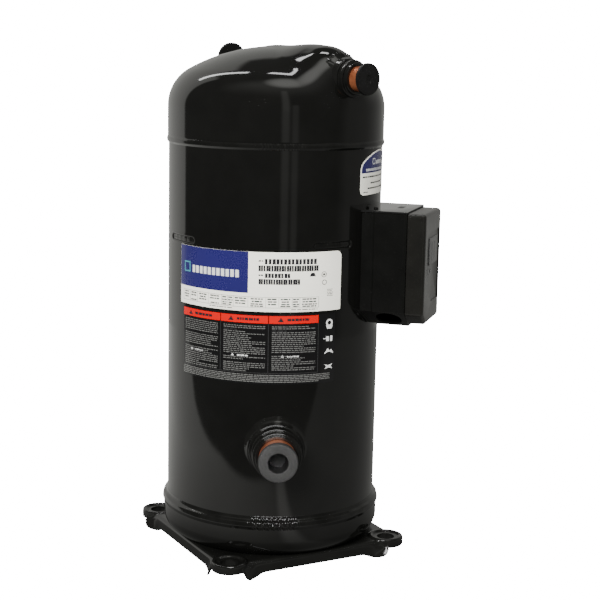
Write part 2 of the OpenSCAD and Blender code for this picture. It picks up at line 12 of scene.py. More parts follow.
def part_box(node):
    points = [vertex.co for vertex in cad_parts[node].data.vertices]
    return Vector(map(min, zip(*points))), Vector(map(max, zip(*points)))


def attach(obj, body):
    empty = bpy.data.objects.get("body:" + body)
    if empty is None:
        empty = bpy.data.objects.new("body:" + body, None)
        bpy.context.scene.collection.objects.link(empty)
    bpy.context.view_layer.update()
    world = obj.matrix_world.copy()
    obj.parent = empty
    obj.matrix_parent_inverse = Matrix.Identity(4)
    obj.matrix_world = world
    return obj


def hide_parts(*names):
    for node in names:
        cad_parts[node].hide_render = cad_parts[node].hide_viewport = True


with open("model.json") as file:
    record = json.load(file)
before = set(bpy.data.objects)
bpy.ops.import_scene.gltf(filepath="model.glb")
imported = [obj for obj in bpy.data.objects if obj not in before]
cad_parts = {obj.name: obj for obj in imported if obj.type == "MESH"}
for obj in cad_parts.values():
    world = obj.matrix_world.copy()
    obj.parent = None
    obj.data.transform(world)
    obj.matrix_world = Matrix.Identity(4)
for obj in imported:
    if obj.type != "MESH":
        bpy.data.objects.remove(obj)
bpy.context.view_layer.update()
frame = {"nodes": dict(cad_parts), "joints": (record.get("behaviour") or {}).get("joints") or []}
MM = 0.001
JOINTS = {j["name"]: j for j in frame["joints"]}


def span(node):
    lo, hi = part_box(node)
    return np.array(lo) / MM, np.array(hi) / MM


def heights(node):
    lo, hi = span(node)
    return lo[2], hi[2]


def heading(joint):
    """The direction in degrees, seen from above, in which a piece pulls off."""
    x, y = JOINTS[joint]["axis"][:2]
    return math.degrees(math.atan2(y, x))


# ---- where things are, from the CAD ----

R = span("shell_tube")[1][0]
TUBE_Z = heights("shell_tube")
CAP_R = -span("top_cap")[0][0]
CAP_Z, CAP_TOP = heights("top_cap")
CROWN_Z = CAP_TOP - 2.0
PAN_R = span("bottom_cap")[1][0]
PLATE_T, RIM = heights("bottom_cap")
SUCTION = heading("suction_plug_pull")
DISCHARGE = heading("discharge_plug_pull")
BOX = heading("cover_pull")
SUCTION_Z = sum(heights("suction_stub")) / 2
DISCHARGE_Z = sum(heights("discharge_stub")) / 2
BOX_Z = heights("terminal_box")
LUG_TOP = heights("lifting_lug")[1]
LUG = 93.5
WELD_Z = sum(heights("plug_welds")) / 2
TERMINAL_Z = 312.0
DEG = math.degrees(1 / R)  # the turn of one millimetre along the tube


# ---- geometry helpers ----


def direction(deg):
    a = math.radians(deg)
    return np.array([math.cos(a), math.sin(a), 0.0])


def outward(deg, z=0.0, across=0.0, out=0.0):
    """Local (out, across, up) points, measured from a given middle, to the row frame."""
    d, t = direction(deg), direction(deg + 90)

    def place(p):
        p = np.asarray(p, float) + (out, across, z)
        return p[..., :1] * d + p[..., 1:2] * t + p[..., 2:3] * np.array([0, 0, 1.0])

    return place


AT_SUCTION = outward(SUCTION, SUCTION_Z)
AT_DISCHARGE = outward(DISCHARGE, DISCHARGE_Z)
AT_BOX = outward(BOX)


def upright(p):
    """Local (up, x, y) points to the row frame."""
    p = np.asarray(p, float)
    return np.stack([p[..., 1], p[..., 2], p[..., 0]], -1)


def turned(along, r, turn):
    """Local points at a radius and a turn, in radians, about the first axis."""
    return np.stack(np.broadcast_arrays(along, r * np.cos(turn), r * np.sin(turn)), -1)


def around(r, turn, z):
    """The same about the upright axis, in the row frame."""
    return upright(turned(z, r, turn))


def tube_face(across):
    """How far out the tube's surface is, at a distance across from the middle."""
    return np.sqrt(R**2 - np.asarray(across) ** 2)


def rounded(corners, steps=5):
    """Corners (x, y, radius) of a closed outline as points, each corner with a radius an arc."""
    out, n = [], len(corners)
    for i, (x, y, r) in enumerate(corners):
        p = np.array([x, y], float)
        if r <= 0:
            out.append(p)
            continue
        a = np.array(corners[i - 1][:2], float) - p
        b = np.array(corners[(i + 1) % n][:2], float) - p
        la, lb = np.linalg.norm(a), np.linalg.norm(b)
        a, b = a / la, b / lb
        half = math.acos(max(-1, min(1, float(a @ b)))) / 2
        t = min(r / math.tan(half), 0.495 * la, 0.495 * lb)
        r = t * math.tan(half)
        c = p + (a + b) / np.linalg.norm(a + b) * r / math.sin(half)
        va, vb = p + a * t - c, p + b * t - c
        w = math.pi - 2 * half
        for k in range(steps + 1):
            s = k / steps
            out.append(c + (math.sin((1 - s) * w) * va + math.sin(s * w) * vb) / math.sin(w))
    return np.array(out)


def loft(rows, closed=False, first=None, last=None, caps=False):
    """Quads between rings of points, with a fan to a point or a flat cap at each end."""
    rows = np.asarray(rows, float)
    n, m = rows.shape[:2]
    idx = np.arange(n * m).reshape(n, m)
    verts = rows.reshape(-1, 3)
    a = idx if closed else idx[:-1]
    b = np.roll(idx, -1, 0) if closed else idx[1:]
    faces = np.stack([a, np.roll(a, -1, 1), np.roll(b, -1, 1), b], -1).reshape(-1, 4).tolist()
    for pole, ring in ((first, idx[0]), (last, idx[-1])):
        if pole is not None:
            verts = np.vstack([verts, pole])
            k = len(verts) - 1
            faces += [[k, int(q), int(p)] for p, q in zip(ring, np.roll(ring, -1))]
    if caps:
        faces += [idx[0].tolist()[::-1], idx[-1].tolist()]
    return verts, faces


def merge(*solids):
    verts, faces, n = [], [], 0
    for v, f in solids:
        verts.append(np.asarray(v, float))
        faces += [[i + n for i in q] for q in f]
        n += len(v)
    return np.vstack(verts), faces


def lathe(profile, place, seg, wobble=None):
    """A profile of (along, radius) points turned about the place's first axis: a ring, or a solid where the
    profile starts and ends on the axis. wobble(along, radius, turn) returns changed along and radius."""
    turn = np.arange(seg) * 2 * math.pi / seg
    rows, first, last = [], None, None
    for i, (x, r) in enumerate(profile):
        if r <= 1e-6:
            pole = place(np.array([x, 0, 0.0]))
            first, last = (pole, last) if i == 0 else (first, pole)
            continue
        xx, rr = np.full(seg, float(x)), np.full(seg, float(r))
        if wobble:
            xx, rr = wobble(xx, rr, turn)
        rows.append(place(turned(xx, rr, turn)))
    return loft(rows, first is None, first, last)


def brick(x0, x1, y0, y1, z0, z1, place, r):
    """A box with rounded edges, in local axes."""
    r = min(r, 0.45 * (x1 - x0), 0.45 * (y1 - y0), 0.45 * (z1 - z0))
    rows = []
    for k in range(5):
        a = math.pi / 2 * k / 4
        inset, x = r * (1 - math.sin(a)), x0 + r * (1 - math.cos(a))
        rows.append((x, inset))
    rows += [(x0 + x1 - x, i) for x, i in rows[::-1]]
    made = []
    for x, i in rows:
        c = [(y0 + i, z0 + i), (y1 - i, z0 + i), (y1 - i, z1 - i), (y0 + i, z1 - i)]
        o = rounded([(a, b, max(r - i, 0.05 * r)) for a, b in c], steps=4)
        made.append(place(np.column_stack([np.full(len(o), x), o])))
    return loft(made, caps=True)


def waves(seed, lowest, highest, count=14):
    """A smooth periodic wobble of a full turn, about -1 to 1."""
    rng = np.random.default_rng(seed)
    k = rng.integers(lowest, highest, count)
    ph = rng.uniform(0, 2 * math.pi, count)
    w = rng.uniform(0.4, 1, count)
    w /= math.sqrt((w**2).sum() / 2) * 1.6

    def f(turn):
        return sum(a * np.sin(n * turn + p) for a, n, p in zip(w, k, ph))

    return f


def smoothstep(x):
    x = np.clip(x, 0, 1)
    return x * x * (3 - 2 * x)


def to_mesh(name, solid):
    verts, faces = solid
    me = bpy.data.meshes.new(name)
    me.from_pydata((np.asarray(verts) * MM).tolist(), [], faces)
    bm = bmesh.new()
    bm.from_mesh(me)
    bmesh.ops.remove_doubles(bm, verts=bm.verts, dist=1e-7)
    bmesh.ops.recalc_face_normals(bm, faces=bm.faces)
    bm.to_mesh(me)
    bm.free()
    return me


def new_object(name, data):
    ob = bpy.data.objects.new(name, data)
    bpy.context.scene.collection.objects.link(ob)
    return ob


def baked(name, me, modifiers):
    """The mesh with modifiers applied, each a (type, settings)."""
    ob = new_object(name + "_work", me)
    for kind, settings in modifiers:
        mod = ob.modifiers.new(kind, kind)
        for k, v in settings.items():
            setattr(mod, k, v)
    dg = bpy.context.evaluated_depsgraph_get()
    made = bpy.data.meshes.new_from_object(ob.evaluated_get(dg))
    made.name = name
    bpy.data.objects.remove(ob)
    return made


def cut(name, me, tools):
    """The mesh less each of the solids."""
    others = [new_object(f"{name}_tool{k}", to_mesh("tool", tool)) for k, tool in enumerate(tools)]
    made = baked(name, me, [("BOOLEAN", {"operation": "DIFFERENCE", "solver": "EXACT", "object": t}) for t in others])
    for t in others:
        bpy.data.objects.remove(t)
    return made


def add(name, shape, finish, stands_for=(), body="root", sharp=38):
    """A new piece from a solid or a mesh."""
    me = shape if isinstance(shape, bpy.types.Mesh) else to_mesh(name, shape)
    me.materials.clear()
    me.materials.append(finish)
    me.shade_smooth()
    me.set_sharp_from_angle(angle=math.radians(sharp))
    ob = new_object(name, me)
    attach(ob, body)
    if stands_for:
        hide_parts(*stands_for)


def hole(low, high, r, place, seg=64):
    """A cylinder to cut away, between two distances along the place's first axis."""
    return lathe([(low, 0), (low, r), (high, r), (high, 0)], place, seg)


def add_turned(name, corners, place, seg, finish, stands_for=(), body="root", steps=5, sharp=38):
    """A new piece turned from a profile of (along, radius, corner radius)."""
    add(name, lathe(rounded(corners, steps), place, seg), finish, stands_for, body, sharp)


# ---- materials ----


def plug(tree, value, socket):
    if isinstance(value, bpy.types.NodeSocket):
        tree.links.new(value, socket)
    else:
        socket.default_value = value


def put(tree, kind, settings=None, **inputs):
    n = tree.nodes.new("ShaderNode" + kind)
    for k, v in (settings or {}).items():
        setattr(n, k, v)
    for k, v in inputs.items():
        plug(tree, v, n.inputs[k.replace("_", " ")])
    return n


def math_node(tree, op, *values):
    """One node, or a chain of them where there are more than two values."""
    if len(values) > 2:
        values = (math_node(tree, op, *values[:-1]), values[-1])
    n = put(tree, "Math", {"operation": op})
    for i, v in enumerate(values):
        plug(tree, v, n.inputs[i])
    return n.outputs[0]


def ramp(tree, value, low, high, a=0.0, b=1.0, smooth=False):
    n = put(tree, "MapRange", {"interpolation_type": "SMOOTHSTEP" if smooth else "LINEAR"})
    for k, v in (("Value", value), ("From Min", low), ("From Max", high), ("To Min", a), ("To Max", b)):
        plug(tree, v, n.inputs[k])
    return n.outputs[0]


def rgba(tone):
    """A colour of three parts, or a grey of one."""
    return (*(tone if isinstance(tone, tuple) else (tone,) * 3), 1)


def blend(tree, share, a, b):
    n = put(tree, "Mix", {"data_type": "RGBA"})
    for i, v in ((0, share), (6, a), (7, b)):
        plug(tree, v, n.inputs[i])
    return n.outputs[2]


def fresh_tree(owner):
    owner.use_nodes = True
    owner.node_tree.nodes.clear()
    return owner.node_tree


def finish_of(
        name, dark, light, rough, patch=60, grain=700, metal=0.0, bump=0.15, depth=0.0001, coat=(0, 0.04),
        stretch=(1, 1, 1), specks=None, edge=None):
    """A procedural finish: two tones in patches, uneven roughness, a fine bump, sparse specks and worn edges.
    coat is (weight, roughness); specks and edge are (amount, colour)."""
    mat = bpy.data.materials.new(name)
    t = fresh_tree(mat)
    at = put(t, "TexCoord").outputs["Object"]
    at = put(t, "Mapping", Vector=at, Scale=stretch).outputs[0]
    big = put(t, "TexNoise", Vector=at, Scale=patch, Detail=5.0, Roughness=0.6).outputs["Fac"]
    fine = put(t, "TexNoise", Vector=at, Scale=grain, Detail=4.0, Roughness=0.55).outputs["Fac"]
    colour = blend(t, ramp(t, big, 0.35, 0.65), rgba(dark), rgba(light))
    unevenness = ramp(t, fine, 0.3, 0.7, -0.1 * rough[0], 0.1 * rough[1])
    roughness = math_node(t, "ADD", ramp(t, big, 0.3, 0.7, *rough), unevenness)
    if specks:
        spots = put(t, "TexNoise", Vector=at, Scale=grain * 1.7, Detail=2.0).outputs["Fac"]
        colour = blend(t, ramp(t, spots, 0.74 - 0.1 * specks[0], 0.8), colour, rgba(specks[1]))
    if edge:
        point = put(t, "NewGeometry").outputs["Pointiness"]
        worn = math_node(t, "MULTIPLY", ramp(t, point, 0.52, 0.6), ramp(t, fine, 0.4, 0.6, 0.3, 1.0), edge[0])
        colour = blend(t, worn, colour, rgba(edge[1]))
    height = put(t, "Bump", Strength=bump, Distance=depth, Height=fine).outputs[0]
    b = put(t, "BsdfPrincipled", Base_Color=colour, Metallic=metal, Roughness=roughness, Normal=height,
            Coat_Weight=coat[0], Coat_Roughness=coat[1])
    put(t, "OutputMaterial", Surface=b.outputs[0])
    return mat


ENAMEL = finish_of(
    "enamel", (0.0027, 0.0027, 0.0024), (0.004, 0.004, 0.0036), (0.05, 0.09), patch=14, grain=130, bump=0.05,
    depth=0.0003, coat=(0.3, 0.03))
PLATE_ENAMEL = finish_of(
    "plate_enamel", (0.004, 0.004, 0.0036), (0.006, 0.006, 0.0054), (0.1, 0.2), patch=20, grain=160, bump=0.08,
    depth=0.0004, coat=(0.15, 0.1))
ENAMEL_ROUGH = finish_of(
    "enamel_over_weld", (0.003, 0.003, 0.0027), (0.005, 0.005, 0.0045), (0.06, 0.12), grain=420, bump=0.25,
    depth=0.0004, coat=(0.3, 0.05))
BOX_STEEL = finish_of(
    "box_paint", (0.0024, 0.0024, 0.0022), (0.0036, 0.0036, 0.0033), (0.28, 0.36), patch=25, grain=500, bump=0.12,
    depth=0.0002, specks=(0.1, 0.03))
PLASTIC = finish_of(
    "moulded_plastic", (0.005, 0.0048, 0.0042), (0.0072, 0.007, 0.006), (0.33, 0.4), patch=30, grain=900, bump=0.25,
    coat=(0.8, 0.3))
COPPER = finish_of(
    "copper", (0.31, 0.085, 0.035), (0.48, 0.16, 0.07), (0.3, 0.42), metal=0.75, grain=500, stretch=(1, 1, 1.5),
    specks=(0.3, (0.2, 0.07, 0.04)))
RUBBER_GREY = finish_of(
    "grey_rubber", (0.017, 0.017, 0.0166), (0.023, 0.0225, 0.022), (0.55, 0.68), bump=0.2, specks=(0.2, 0.09))
# Black rubber for the discharge plug, and also the painted shade that lines the suction plug's bore.
BLACK_RUBBER_AND_BORE_SHADE = finish_of(
    "black_rubber_and_bore_shade", 0.003, (0.0052, 0.005, 0.005), (0.4, 0.5), patch=80, bump=0.25, specks=(0.2, 0.03))
ZINC = finish_of(
    "zinc_plate", (0.42, 0.43, 0.44), 0.6, (0.24, 0.36), metal=1.0, patch=90, grain=900, specks=(0.2, 0.3),
    edge=(0.4, 0.7))
PRESSED = finish_of(
    "pressed_steel", (0.3, 0.3, 0.31), 0.42, (0.3, 0.45), metal=1.0, patch=30, grain=600, stretch=(1, 1, 0.3),
    specks=(0.2, (0.18, 0.15, 0.12)), edge=(0.5, 0.6))
GROUND = finish_of(
    "ground_steel", (0.55, 0.55, 0.56), 0.66, (0.12, 0.2), metal=1.0, patch=40, grain=1500, stretch=(1, 1, 8),
    bump=0.12, edge=(0.3, 0.75))
LAMINATION = finish_of(
    "lamination", (0.2, 0.2, 0.21), (0.3, 0.3, 0.31), (0.35, 0.5), metal=0.9, patch=40, grain=180,
    stretch=(0.4, 0.4, 11), bump=0.5, depth=0.0002)
CASTING = finish_of(
    "cast_iron", (0.12, 0.12, 0.125), 0.19, (0.45, 0.62), metal=0.8, patch=50, grain=650, bump=0.45, depth=0.0003,
    specks=(0.4, (0.07, 0.06, 0.05)), edge=(0.8, 0.4))
ALLOY = finish_of("alloy", (0.55, 0.56, 0.57), 0.7, (0.28, 0.42), metal=1.0, bump=0.25, specks=(0.2, 0.4))
BRONZE = finish_of(
    "bearing_bronze", (0.4, 0.27, 0.12), (0.55, 0.38, 0.18), (0.22, 0.35), metal=1.0, patch=70, grain=900,
    stretch=(1, 1, 5), specks=(0.2, (0.2, 0.14, 0.07)))
WINDING = finish_of(
    "winding", (0.3, 0.09, 0.03), (0.5, 0.2, 0.07), (0.3, 0.45), metal=0.5, patch=70, grain=260, stretch=(3, 3, 1),
    bump=0.8, depth=0.0006, coat=(0.4, 0.2))
RESIN = finish_of(
    "terminal_resin", (0.03, 0.027, 0.024), (0.05, 0.046, 0.04), (0.35, 0.5), patch=70, grain=800, bump=0.2,
    specks=(0.3, (0.08, 0.075, 0.07)))
LEAD = finish_of(
    "lead_resin", (0.6, 0.58, 0.5), (0.72, 0.7, 0.62), (0.4, 0.5), bump=0.2, specks=(0.2, (0.4, 0.35, 0.28)))
WRAP = finish_of(
    "protector_wrap", (0.5, 0.46, 0.36), (0.62, 0.58, 0.47), (0.55, 0.7), grain=500, bump=0.5, depth=0.0003,
    specks=(0.2, (0.3, 0.27, 0.2)))
BRASS = finish_of(
    "brass", (0.6, 0.43, 0.15), (0.72, 0.54, 0.22), (0.2, 0.32), metal=1.0, patch=90, grain=900,
    specks=(0.2, (0.3, 0.2, 0.08)), edge=(0.3, (0.8, 0.66, 0.35)))
MAGNET = finish_of(
    "magnet", (0.06, 0.06, 0.065), (0.1, 0.1, 0.105), (0.35, 0.5), metal=0.6, patch=80, bump=0.3,
    specks=(0.4, (0.2, 0.19, 0.18)))


def film(name, colour, rough=(0.22, 0.3), coat=0.25):
    """A printed film: nearly one tone, with faint handling marks."""
    dark, spot = (tuple(share * c for c in colour) for share in (0.93, 0.8))
    return finish_of(
        name, dark, colour, rough, patch=18, bump=0.06, depth=0.00005, coat=(coat, 0.1), specks=(0.05, spot))


PAPER = film("label_white", (0.85, 0.835, 0.74))
PAPER_BLACK = film("label_black", (0.0045, 0.0045, 0.0045), (0.12, 0.18))
INK_BLUE = film("ink_blue", (0.014, 0.012, 0.08))
INK_TEAL = film("ink_teal", (0.05, 0.22, 0.26))
INK_RED = film("ink_red", (0.5, 0.0004, 0.0006), coat=0)
INK_DARK = film("ink_dark", (0.014, 0.014, 0.016))
INK_GREY = film("ink_grey", (0.02, 0.02, 0.02))
INK_SOFT = film("ink_soft", (0.1, 0.1, 0.095))
INK_WHITE = film("ink_white", (0.6, 0.6, 0.58))


# ---- top cap: a shallow dome with a nose that blends into it ----

CAP_WALL = 4.0
KNUCKLE = 45.0
CROWN_R = 190.0
NOSE_R = 31.9
NOSE_L = 75.0
SHOULDER_AT = CAP_R - KNUCKLE
CROWN_C = CROWN_Z - CROWN_R
SHOULDER_Z = CROWN_C + math.sqrt((CROWN_R - KNUCKLE) ** 2 - SHOULDER_AT**2)
TURN_AT = math.atan2(SHOULDER_Z - CROWN_C, SHOULDER_AT)


def cap_distance(p):
    """How far outside the cap's surface a point is."""
    r, z = np.hypot(p[..., 0], p[..., 1]), p[..., 2]
    knuckle = np.hypot(r - SHOULDER_AT, z - SHOULDER_Z) - KNUCKLE
    crown = np.hypot(r, z - CROWN_C) - CROWN_R
    dome = np.where(np.arctan2(z - SHOULDER_Z, r - SHOULDER_AT) <= TURN_AT, knuckle, crown)
    dome = np.where(z <= SHOULDER_Z, r - CAP_R, dome)
    d = direction(DISCHARGE)
    along = p @ d
    q = p - np.array([0, 0, DISCHARGE_Z]) - np.clip(along, 0, NOSE_L)[..., None] * d
    nose = np.linalg.norm(q, axis=-1) - NOSE_R
    k = 4 + 20 * smoothstep((along - 15) / 50)
    h = np.clip(0.5 + 0.5 * (nose - dome) / k, 0, 1)
    return nose * (1 - h) + dome * h - k * h * (1 - h)


def cap_surface(level, turns, tilts, centre):
    t, e = np.meshgrid(turns, tilts)
    d = np.stack([np.cos(e) * np.cos(t), np.cos(e) * np.sin(t), np.sin(e)], -1)
    lo, hi = np.full(t.shape, 10.0), np.full(t.shape, 170.0)
    for _ in range(28):
        mid = (lo + hi) / 2
        inside = cap_distance(centre + mid[..., None] * d) < level
        lo, hi = np.where(inside, mid, lo), np.where(inside, hi, mid)
    return centre + lo[..., None] * d


def top_cap():
    n_turn, n_tilt = ((480, 140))
    turns = np.arange(n_turn) * 2 * math.pi / n_turn
    tilts = np.linspace(math.radians(89.3), 0, n_tilt)
    centre = np.array([0, 0, SHOULDER_Z + 2.0])
    rows = []
    for level, rim in ((0.0, 1.0), (-CAP_WALL, 0.0)):
        top = cap_surface(level, turns, tilts, centre)
        r = CAP_R + level
        zs = np.linspace(centre[2], CAP_Z + rim, 16)[1:]
        rows.append(np.concatenate([top, around(r, turns, zs[:, None])]))
    lip = around(CAP_R - 1.0, turns, CAP_Z)
    pole = [cap_surface(v, np.zeros(1), np.array([math.pi / 2]), centre)[0, 0] for v in (0.0, -CAP_WALL)]
    return loft(np.concatenate([rows[0], lip[None], rows[1][::-1]]), first=pole[0], last=pole[1])


add("top_cap_shell", top_cap(), ENAMEL, ["top_cap"], sharp=60)


# ---- shell tube with its plug-weld slots ----

TUBE_WALL = 3.5
SLOT_ANGLES = [5, 95, 185, 275]
SLOT_HALF = 20.0
SLOT_R = 3.4


def turn_from(turn, deg):
    """The turn in radians from a direction in degrees, between minus and plus half a turn."""
    return (turn - math.radians(deg) + math.pi) % (2 * math.pi) - math.pi


def obround(s, z):
    """Distance outside a slot's outline, from the slot's centre along the surface."""
    return np.hypot(np.maximum(np.abs(s) - SLOT_HALF, 0), z) - SLOT_R


def shell_tube():
    turns = np.arange(720) * 2 * math.pi / 720
    fine = np.arange(WELD_Z - 9, WELD_Z + 9.1, 0.6)
    zs = np.concatenate([np.linspace(TUBE_Z[0], fine[0], 30)[:-1], fine, np.linspace(fine[-1], TUBE_Z[1], 14)[1:]])
    t, z = np.meshgrid(turns, zs)
    r = np.full(t.shape, R)
    for a in SLOT_ANGLES:
        d = obround(turn_from(t, a) * R, z - WELD_Z)
        r += 0.16 * np.exp(-(((d - 1.1) / 1.0) ** 2)) - 2.4 * (1 - smoothstep((d + 1.0) / 1.4))
    outer, inner = around(r, t, z), around(R - TUBE_WALL, t, z)[::-1]
    me = to_mesh("tube", loft(np.concatenate([outer, inner[::15]]), closed=True))
    return cut("tube", me, [hole(100, 130, 19.0, place) for place in (AT_SUCTION, outward(BOX, TERMINAL_Z))])


add("tube_shell", shell_tube(), ENAMEL, ["shell_tube"], sharp=60)


def plug_pad(angle):
    """A slot's weld metal: a pillow with a rippled top."""
    rng = np.random.default_rng(int(angle) + 7)
    ph = rng.uniform(0, 6, 3)
    rows = []
    for inset, depth in ((0.2, -2.4), (0.2, -1.6), (0.6, -1.1), (1.3, -0.8), (2.2, -0.75), (3.2, -0.72)):
        r = SLOT_R - inset
        end = SLOT_HALF + r
        o = rounded([(-end, -r, r), (end, -r, r), (end, r, r), (-end, r, r)], steps=6)
        near, far, back = np.split(o, (7, 21))
        o = np.vstack(
            [near, np.linspace(near[-1], far[0], 40)[1:-1], far, np.linspace(far[-1], back[0], 40)[1:-1], back])
        ripple = 0.05 * np.sin(1.9 * o[:, 0] + ph[0]) + 0.08 * np.sin(0.7 * o[:, 0] + ph[1])
        r = R + depth + np.where(depth > -1.5, ripple, 0)
        rows.append(around(r, math.radians(angle) + o[:, 0] / R, WELD_Z + o[:, 1]))
    return loft(rows, caps=True)


add("plug_weld_pads", merge(*[plug_pad(a) for a in SLOT_ANGLES]), ENAMEL_ROUGH, ["plug_welds"])


# ---- bottom pan and the seam welds ----


PAN_WALL = 4.0
PAN_BEND = 21.0
PAN = [(PLATE_T, 0, 0), (PLATE_T, PAN_R, PAN_BEND), (RIM, PAN_R, 1.2), (RIM, PAN_R - PAN_WALL, 1.2),
       (PLATE_T + PAN_WALL, PAN_R - PAN_WALL, PAN_BEND - PAN_WALL), (PLATE_T + PAN_WALL, 0, 0)]
add_turned("pan_shell", PAN, upright, 360, ENAMEL, ["bottom_cap"], steps=16, sharp=60)


def roughness_at(seed, count, fastest):
    """A bumpy field over turn and height, about -1 to 1."""
    rng = np.random.default_rng(seed)
    across = rng.integers(fastest // 4, fastest, count)
    along = rng.uniform(0.1, 1.0, count)
    phase = rng.uniform(0, 2 * math.pi, count)

    def f(turn, z):
        waves_of = [np.sin(n * turn + m * z + p) for n, m, p in zip(across, along, phase)]
        return sum(waves_of) / math.sqrt(0.5 * count) / 1.6

    return f


WELD_END = -115.0


def seam(name, profile, node, seed, front_lump, lump):
    """A smooth fillet round the shell, rough where the weld ends, at the front."""
    coarse, fine = roughness_at(seed, 12, 40), roughness_at(seed + 1, 26, 330)

    def wobble(z, r, turn):
        off = np.abs(turn_from(turn, WELD_END))
        rough = 1 - smoothstep((off - math.radians(6)) / math.radians(9))
        deep = np.clip((r - R) / 2.0, 0, 1)
        swell = lump * coarse(turn, z) + front_lump * rough * fine(turn, z)
        return z + 0.6 * deep * swell, r + deep * swell

    add(name, lathe(rounded(profile, steps=6), upright, 1440, wobble=wobble),
        ENAMEL_ROUGH, [node], sharp=80)


seam(
    "bottom_weld_bead", [(RIM + 8.0, R - 0.6, 0.3), (RIM + 7.6, R + 0.2, 1.0), (RIM + 4.5, R + 0.9, 4.0),
    (RIM + 2.0, PAN_R + 0.4, 3.0), (RIM - 2.5, PAN_R + 1.5, 3.0), (RIM - 7.0, PAN_R - 0.3, 2.5),
    (RIM - 7.0, R + 1.0, 0.5), (RIM, R - 0.6, 0.5)], "bottom_seam_weld", 11, 0.75, 0.07)
seam(
    "top_weld_bead", [(CAP_Z + 1.5, R - 0.3, 0.3), (CAP_Z + 1.5, CAP_R + 0.1, 0.5), (CAP_Z - 0.5, CAP_R + 0.9, 1.2),
    (CAP_Z - 3.2, CAP_R + 0.7, 1.6), (CAP_Z - 5.6, R + 0.1, 1.2), (CAP_Z - 5.8, R - 0.5, 0.3)], "top_seam_weld", 31,
    0.3, 0.06)


# ---- mounting plate: pressed sheet with dished ears and turned-down, flared sides ----

FOOT = 95.25
FOOT_HOLE_R = 9.525
EAR_R = 19.0
EARS = [np.array([x, y, 0]) for x in (-FOOT, FOOT) for y in (-FOOT, FOOT)]
FOLD = 104.0


def at_ears(profile):
    """A turned solid, once at each ear."""
    v, f = lathe(profile, upright, 64)
    return [(v + at, f) for at in EARS]


def mounting_plate():
    slab = [(-FOLD, -FOLD), (FOLD, -FOLD), (FOLD, FOLD), (-FOLD, FOLD)]
    slab = loft([np.column_stack([slab, np.full(4, z)]) for z in (0, PLATE_T)], caps=True)
    ears = at_ears(
        rounded([(-5.2, 6, 0.3), (-5.2, 12.2, 0.8), (0.3, 12.2, 0.8), (0.3, EAR_R - 3.0, 1.0),
        (-4.9, EAR_R - 2.6, 0.8), (-4.9, EAR_R, 1.1), (PLATE_T + 1.7, EAR_R, 1.9), (PLATE_T + 1.7, 15.2, 1.0),
        (PLATE_T - 0.6, 13.4, 1.4), (PLATE_T - 0.6, 6, 0.3)], steps=4))
    flanges = []
    for side in range(4):
        place = outward(90 * side)
        rows = []
        for s in np.linspace(-88.0, 88.0, 177):
            a = abs(s)
            tip = smoothstep((a - 58) / 16)
            up = 1 - math.sqrt(max(0.0, 1 - max(0.0, (a - 76) / 12.0) ** 2))
            low = -10 - 4.2 * tip + 12.0 * up
            flare = 9.0 * smoothstep((a - 68) / 20)
            zs = np.linspace(0, low, 9)
            depth = (zs - 3.5) / (low - 3.5)
            kick = flare * depth + 1.2 * tip * depth**2
            bend = [math.pi / 2 * k / 4 for k in range(5)]
            ring = [(FOLD - 1 + 4.5 * math.sin(w), PLATE_T - 3.5 + 3.5 * math.cos(w)) for w in bend]
            ring += [(FOLD + 3.5 + q, z) for z, q in zip(zs[1:], kick[1:])]
            ring += [(FOLD + 0.3 + q, z) for z, q in zip(zs[::-1], kick[::-1])]
            ring.append((FOLD - 1, 0.0))
            rows.append(place([[u, s, z] for u, z in ring]))
        flanges.append(loft(rows, caps=True))
    sinks = at_ears([(PLATE_T - 0.6, 0), (PLATE_T - 0.6, 13.6), (10, 14.5), (10, 0)])
    plate = cut("plate", to_mesh("plate", slab), sinks)
    joined = to_mesh("plate_parts", merge(*ears, *flanges))
    bm = bmesh.new()
    bm.from_mesh(plate)
    bm.from_mesh(joined)
    bm.to_mesh(plate)
    bm.free()
    size, smoothing = ((0.9, 7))
    plate = baked(
        "plate", plate, [("REMESH", {"mode": "VOXEL", "voxel_size": size * MM}),
        ("SMOOTH", {"factor": 0.5, "iterations": smoothing})])
    return cut("plate", plate, at_ears([(-20, 0), (-20, FOOT_HOLE_R), (20, FOOT_HOLE_R), (20, 0)]))


add("mounting_plate_sheet", mounting_plate(), PLATE_ENAMEL, ["mounting_plate"], sharp=55)


# ---- lifting lug ----

def lifting_lug():
    """A flat plate with a half-round top and an eye: w is half its width, t its thickness."""
    place = outward(LUG)
    w, t, at = 17.0, 5.0, 98.0
    arc = [(w * math.cos(a), LUG_TOP - w + w * math.sin(a)) for a in np.linspace(0, math.pi, 25)]
    rows = []
    for u, inset in ((0, 0.9), (0.3, 0.3), (0.9, 0), (t - 0.9, 0), (t - 0.3, 0.3), (t, 0.9)):
        k = (w - inset) / w
        o = [(-y * k, (z - LUG_TOP + w) * k + LUG_TOP - w) for y, z in arc]
        o = [(inset - w, 480.0), *o, (w - inset, 480.0)]
        rows.append(place([[at + u, y, z] for y, z in o]))
    me = to_mesh("lug", loft(rows, caps=True))
    return cut("lug", me, [hole(90, 110, 6.0, outward(LUG, LUG_TOP - w - 0.5), 48)])


add("lifting_lug_plate", lifting_lug(), ENAMEL, ["lifting_lug"])


# ---- fittings ----


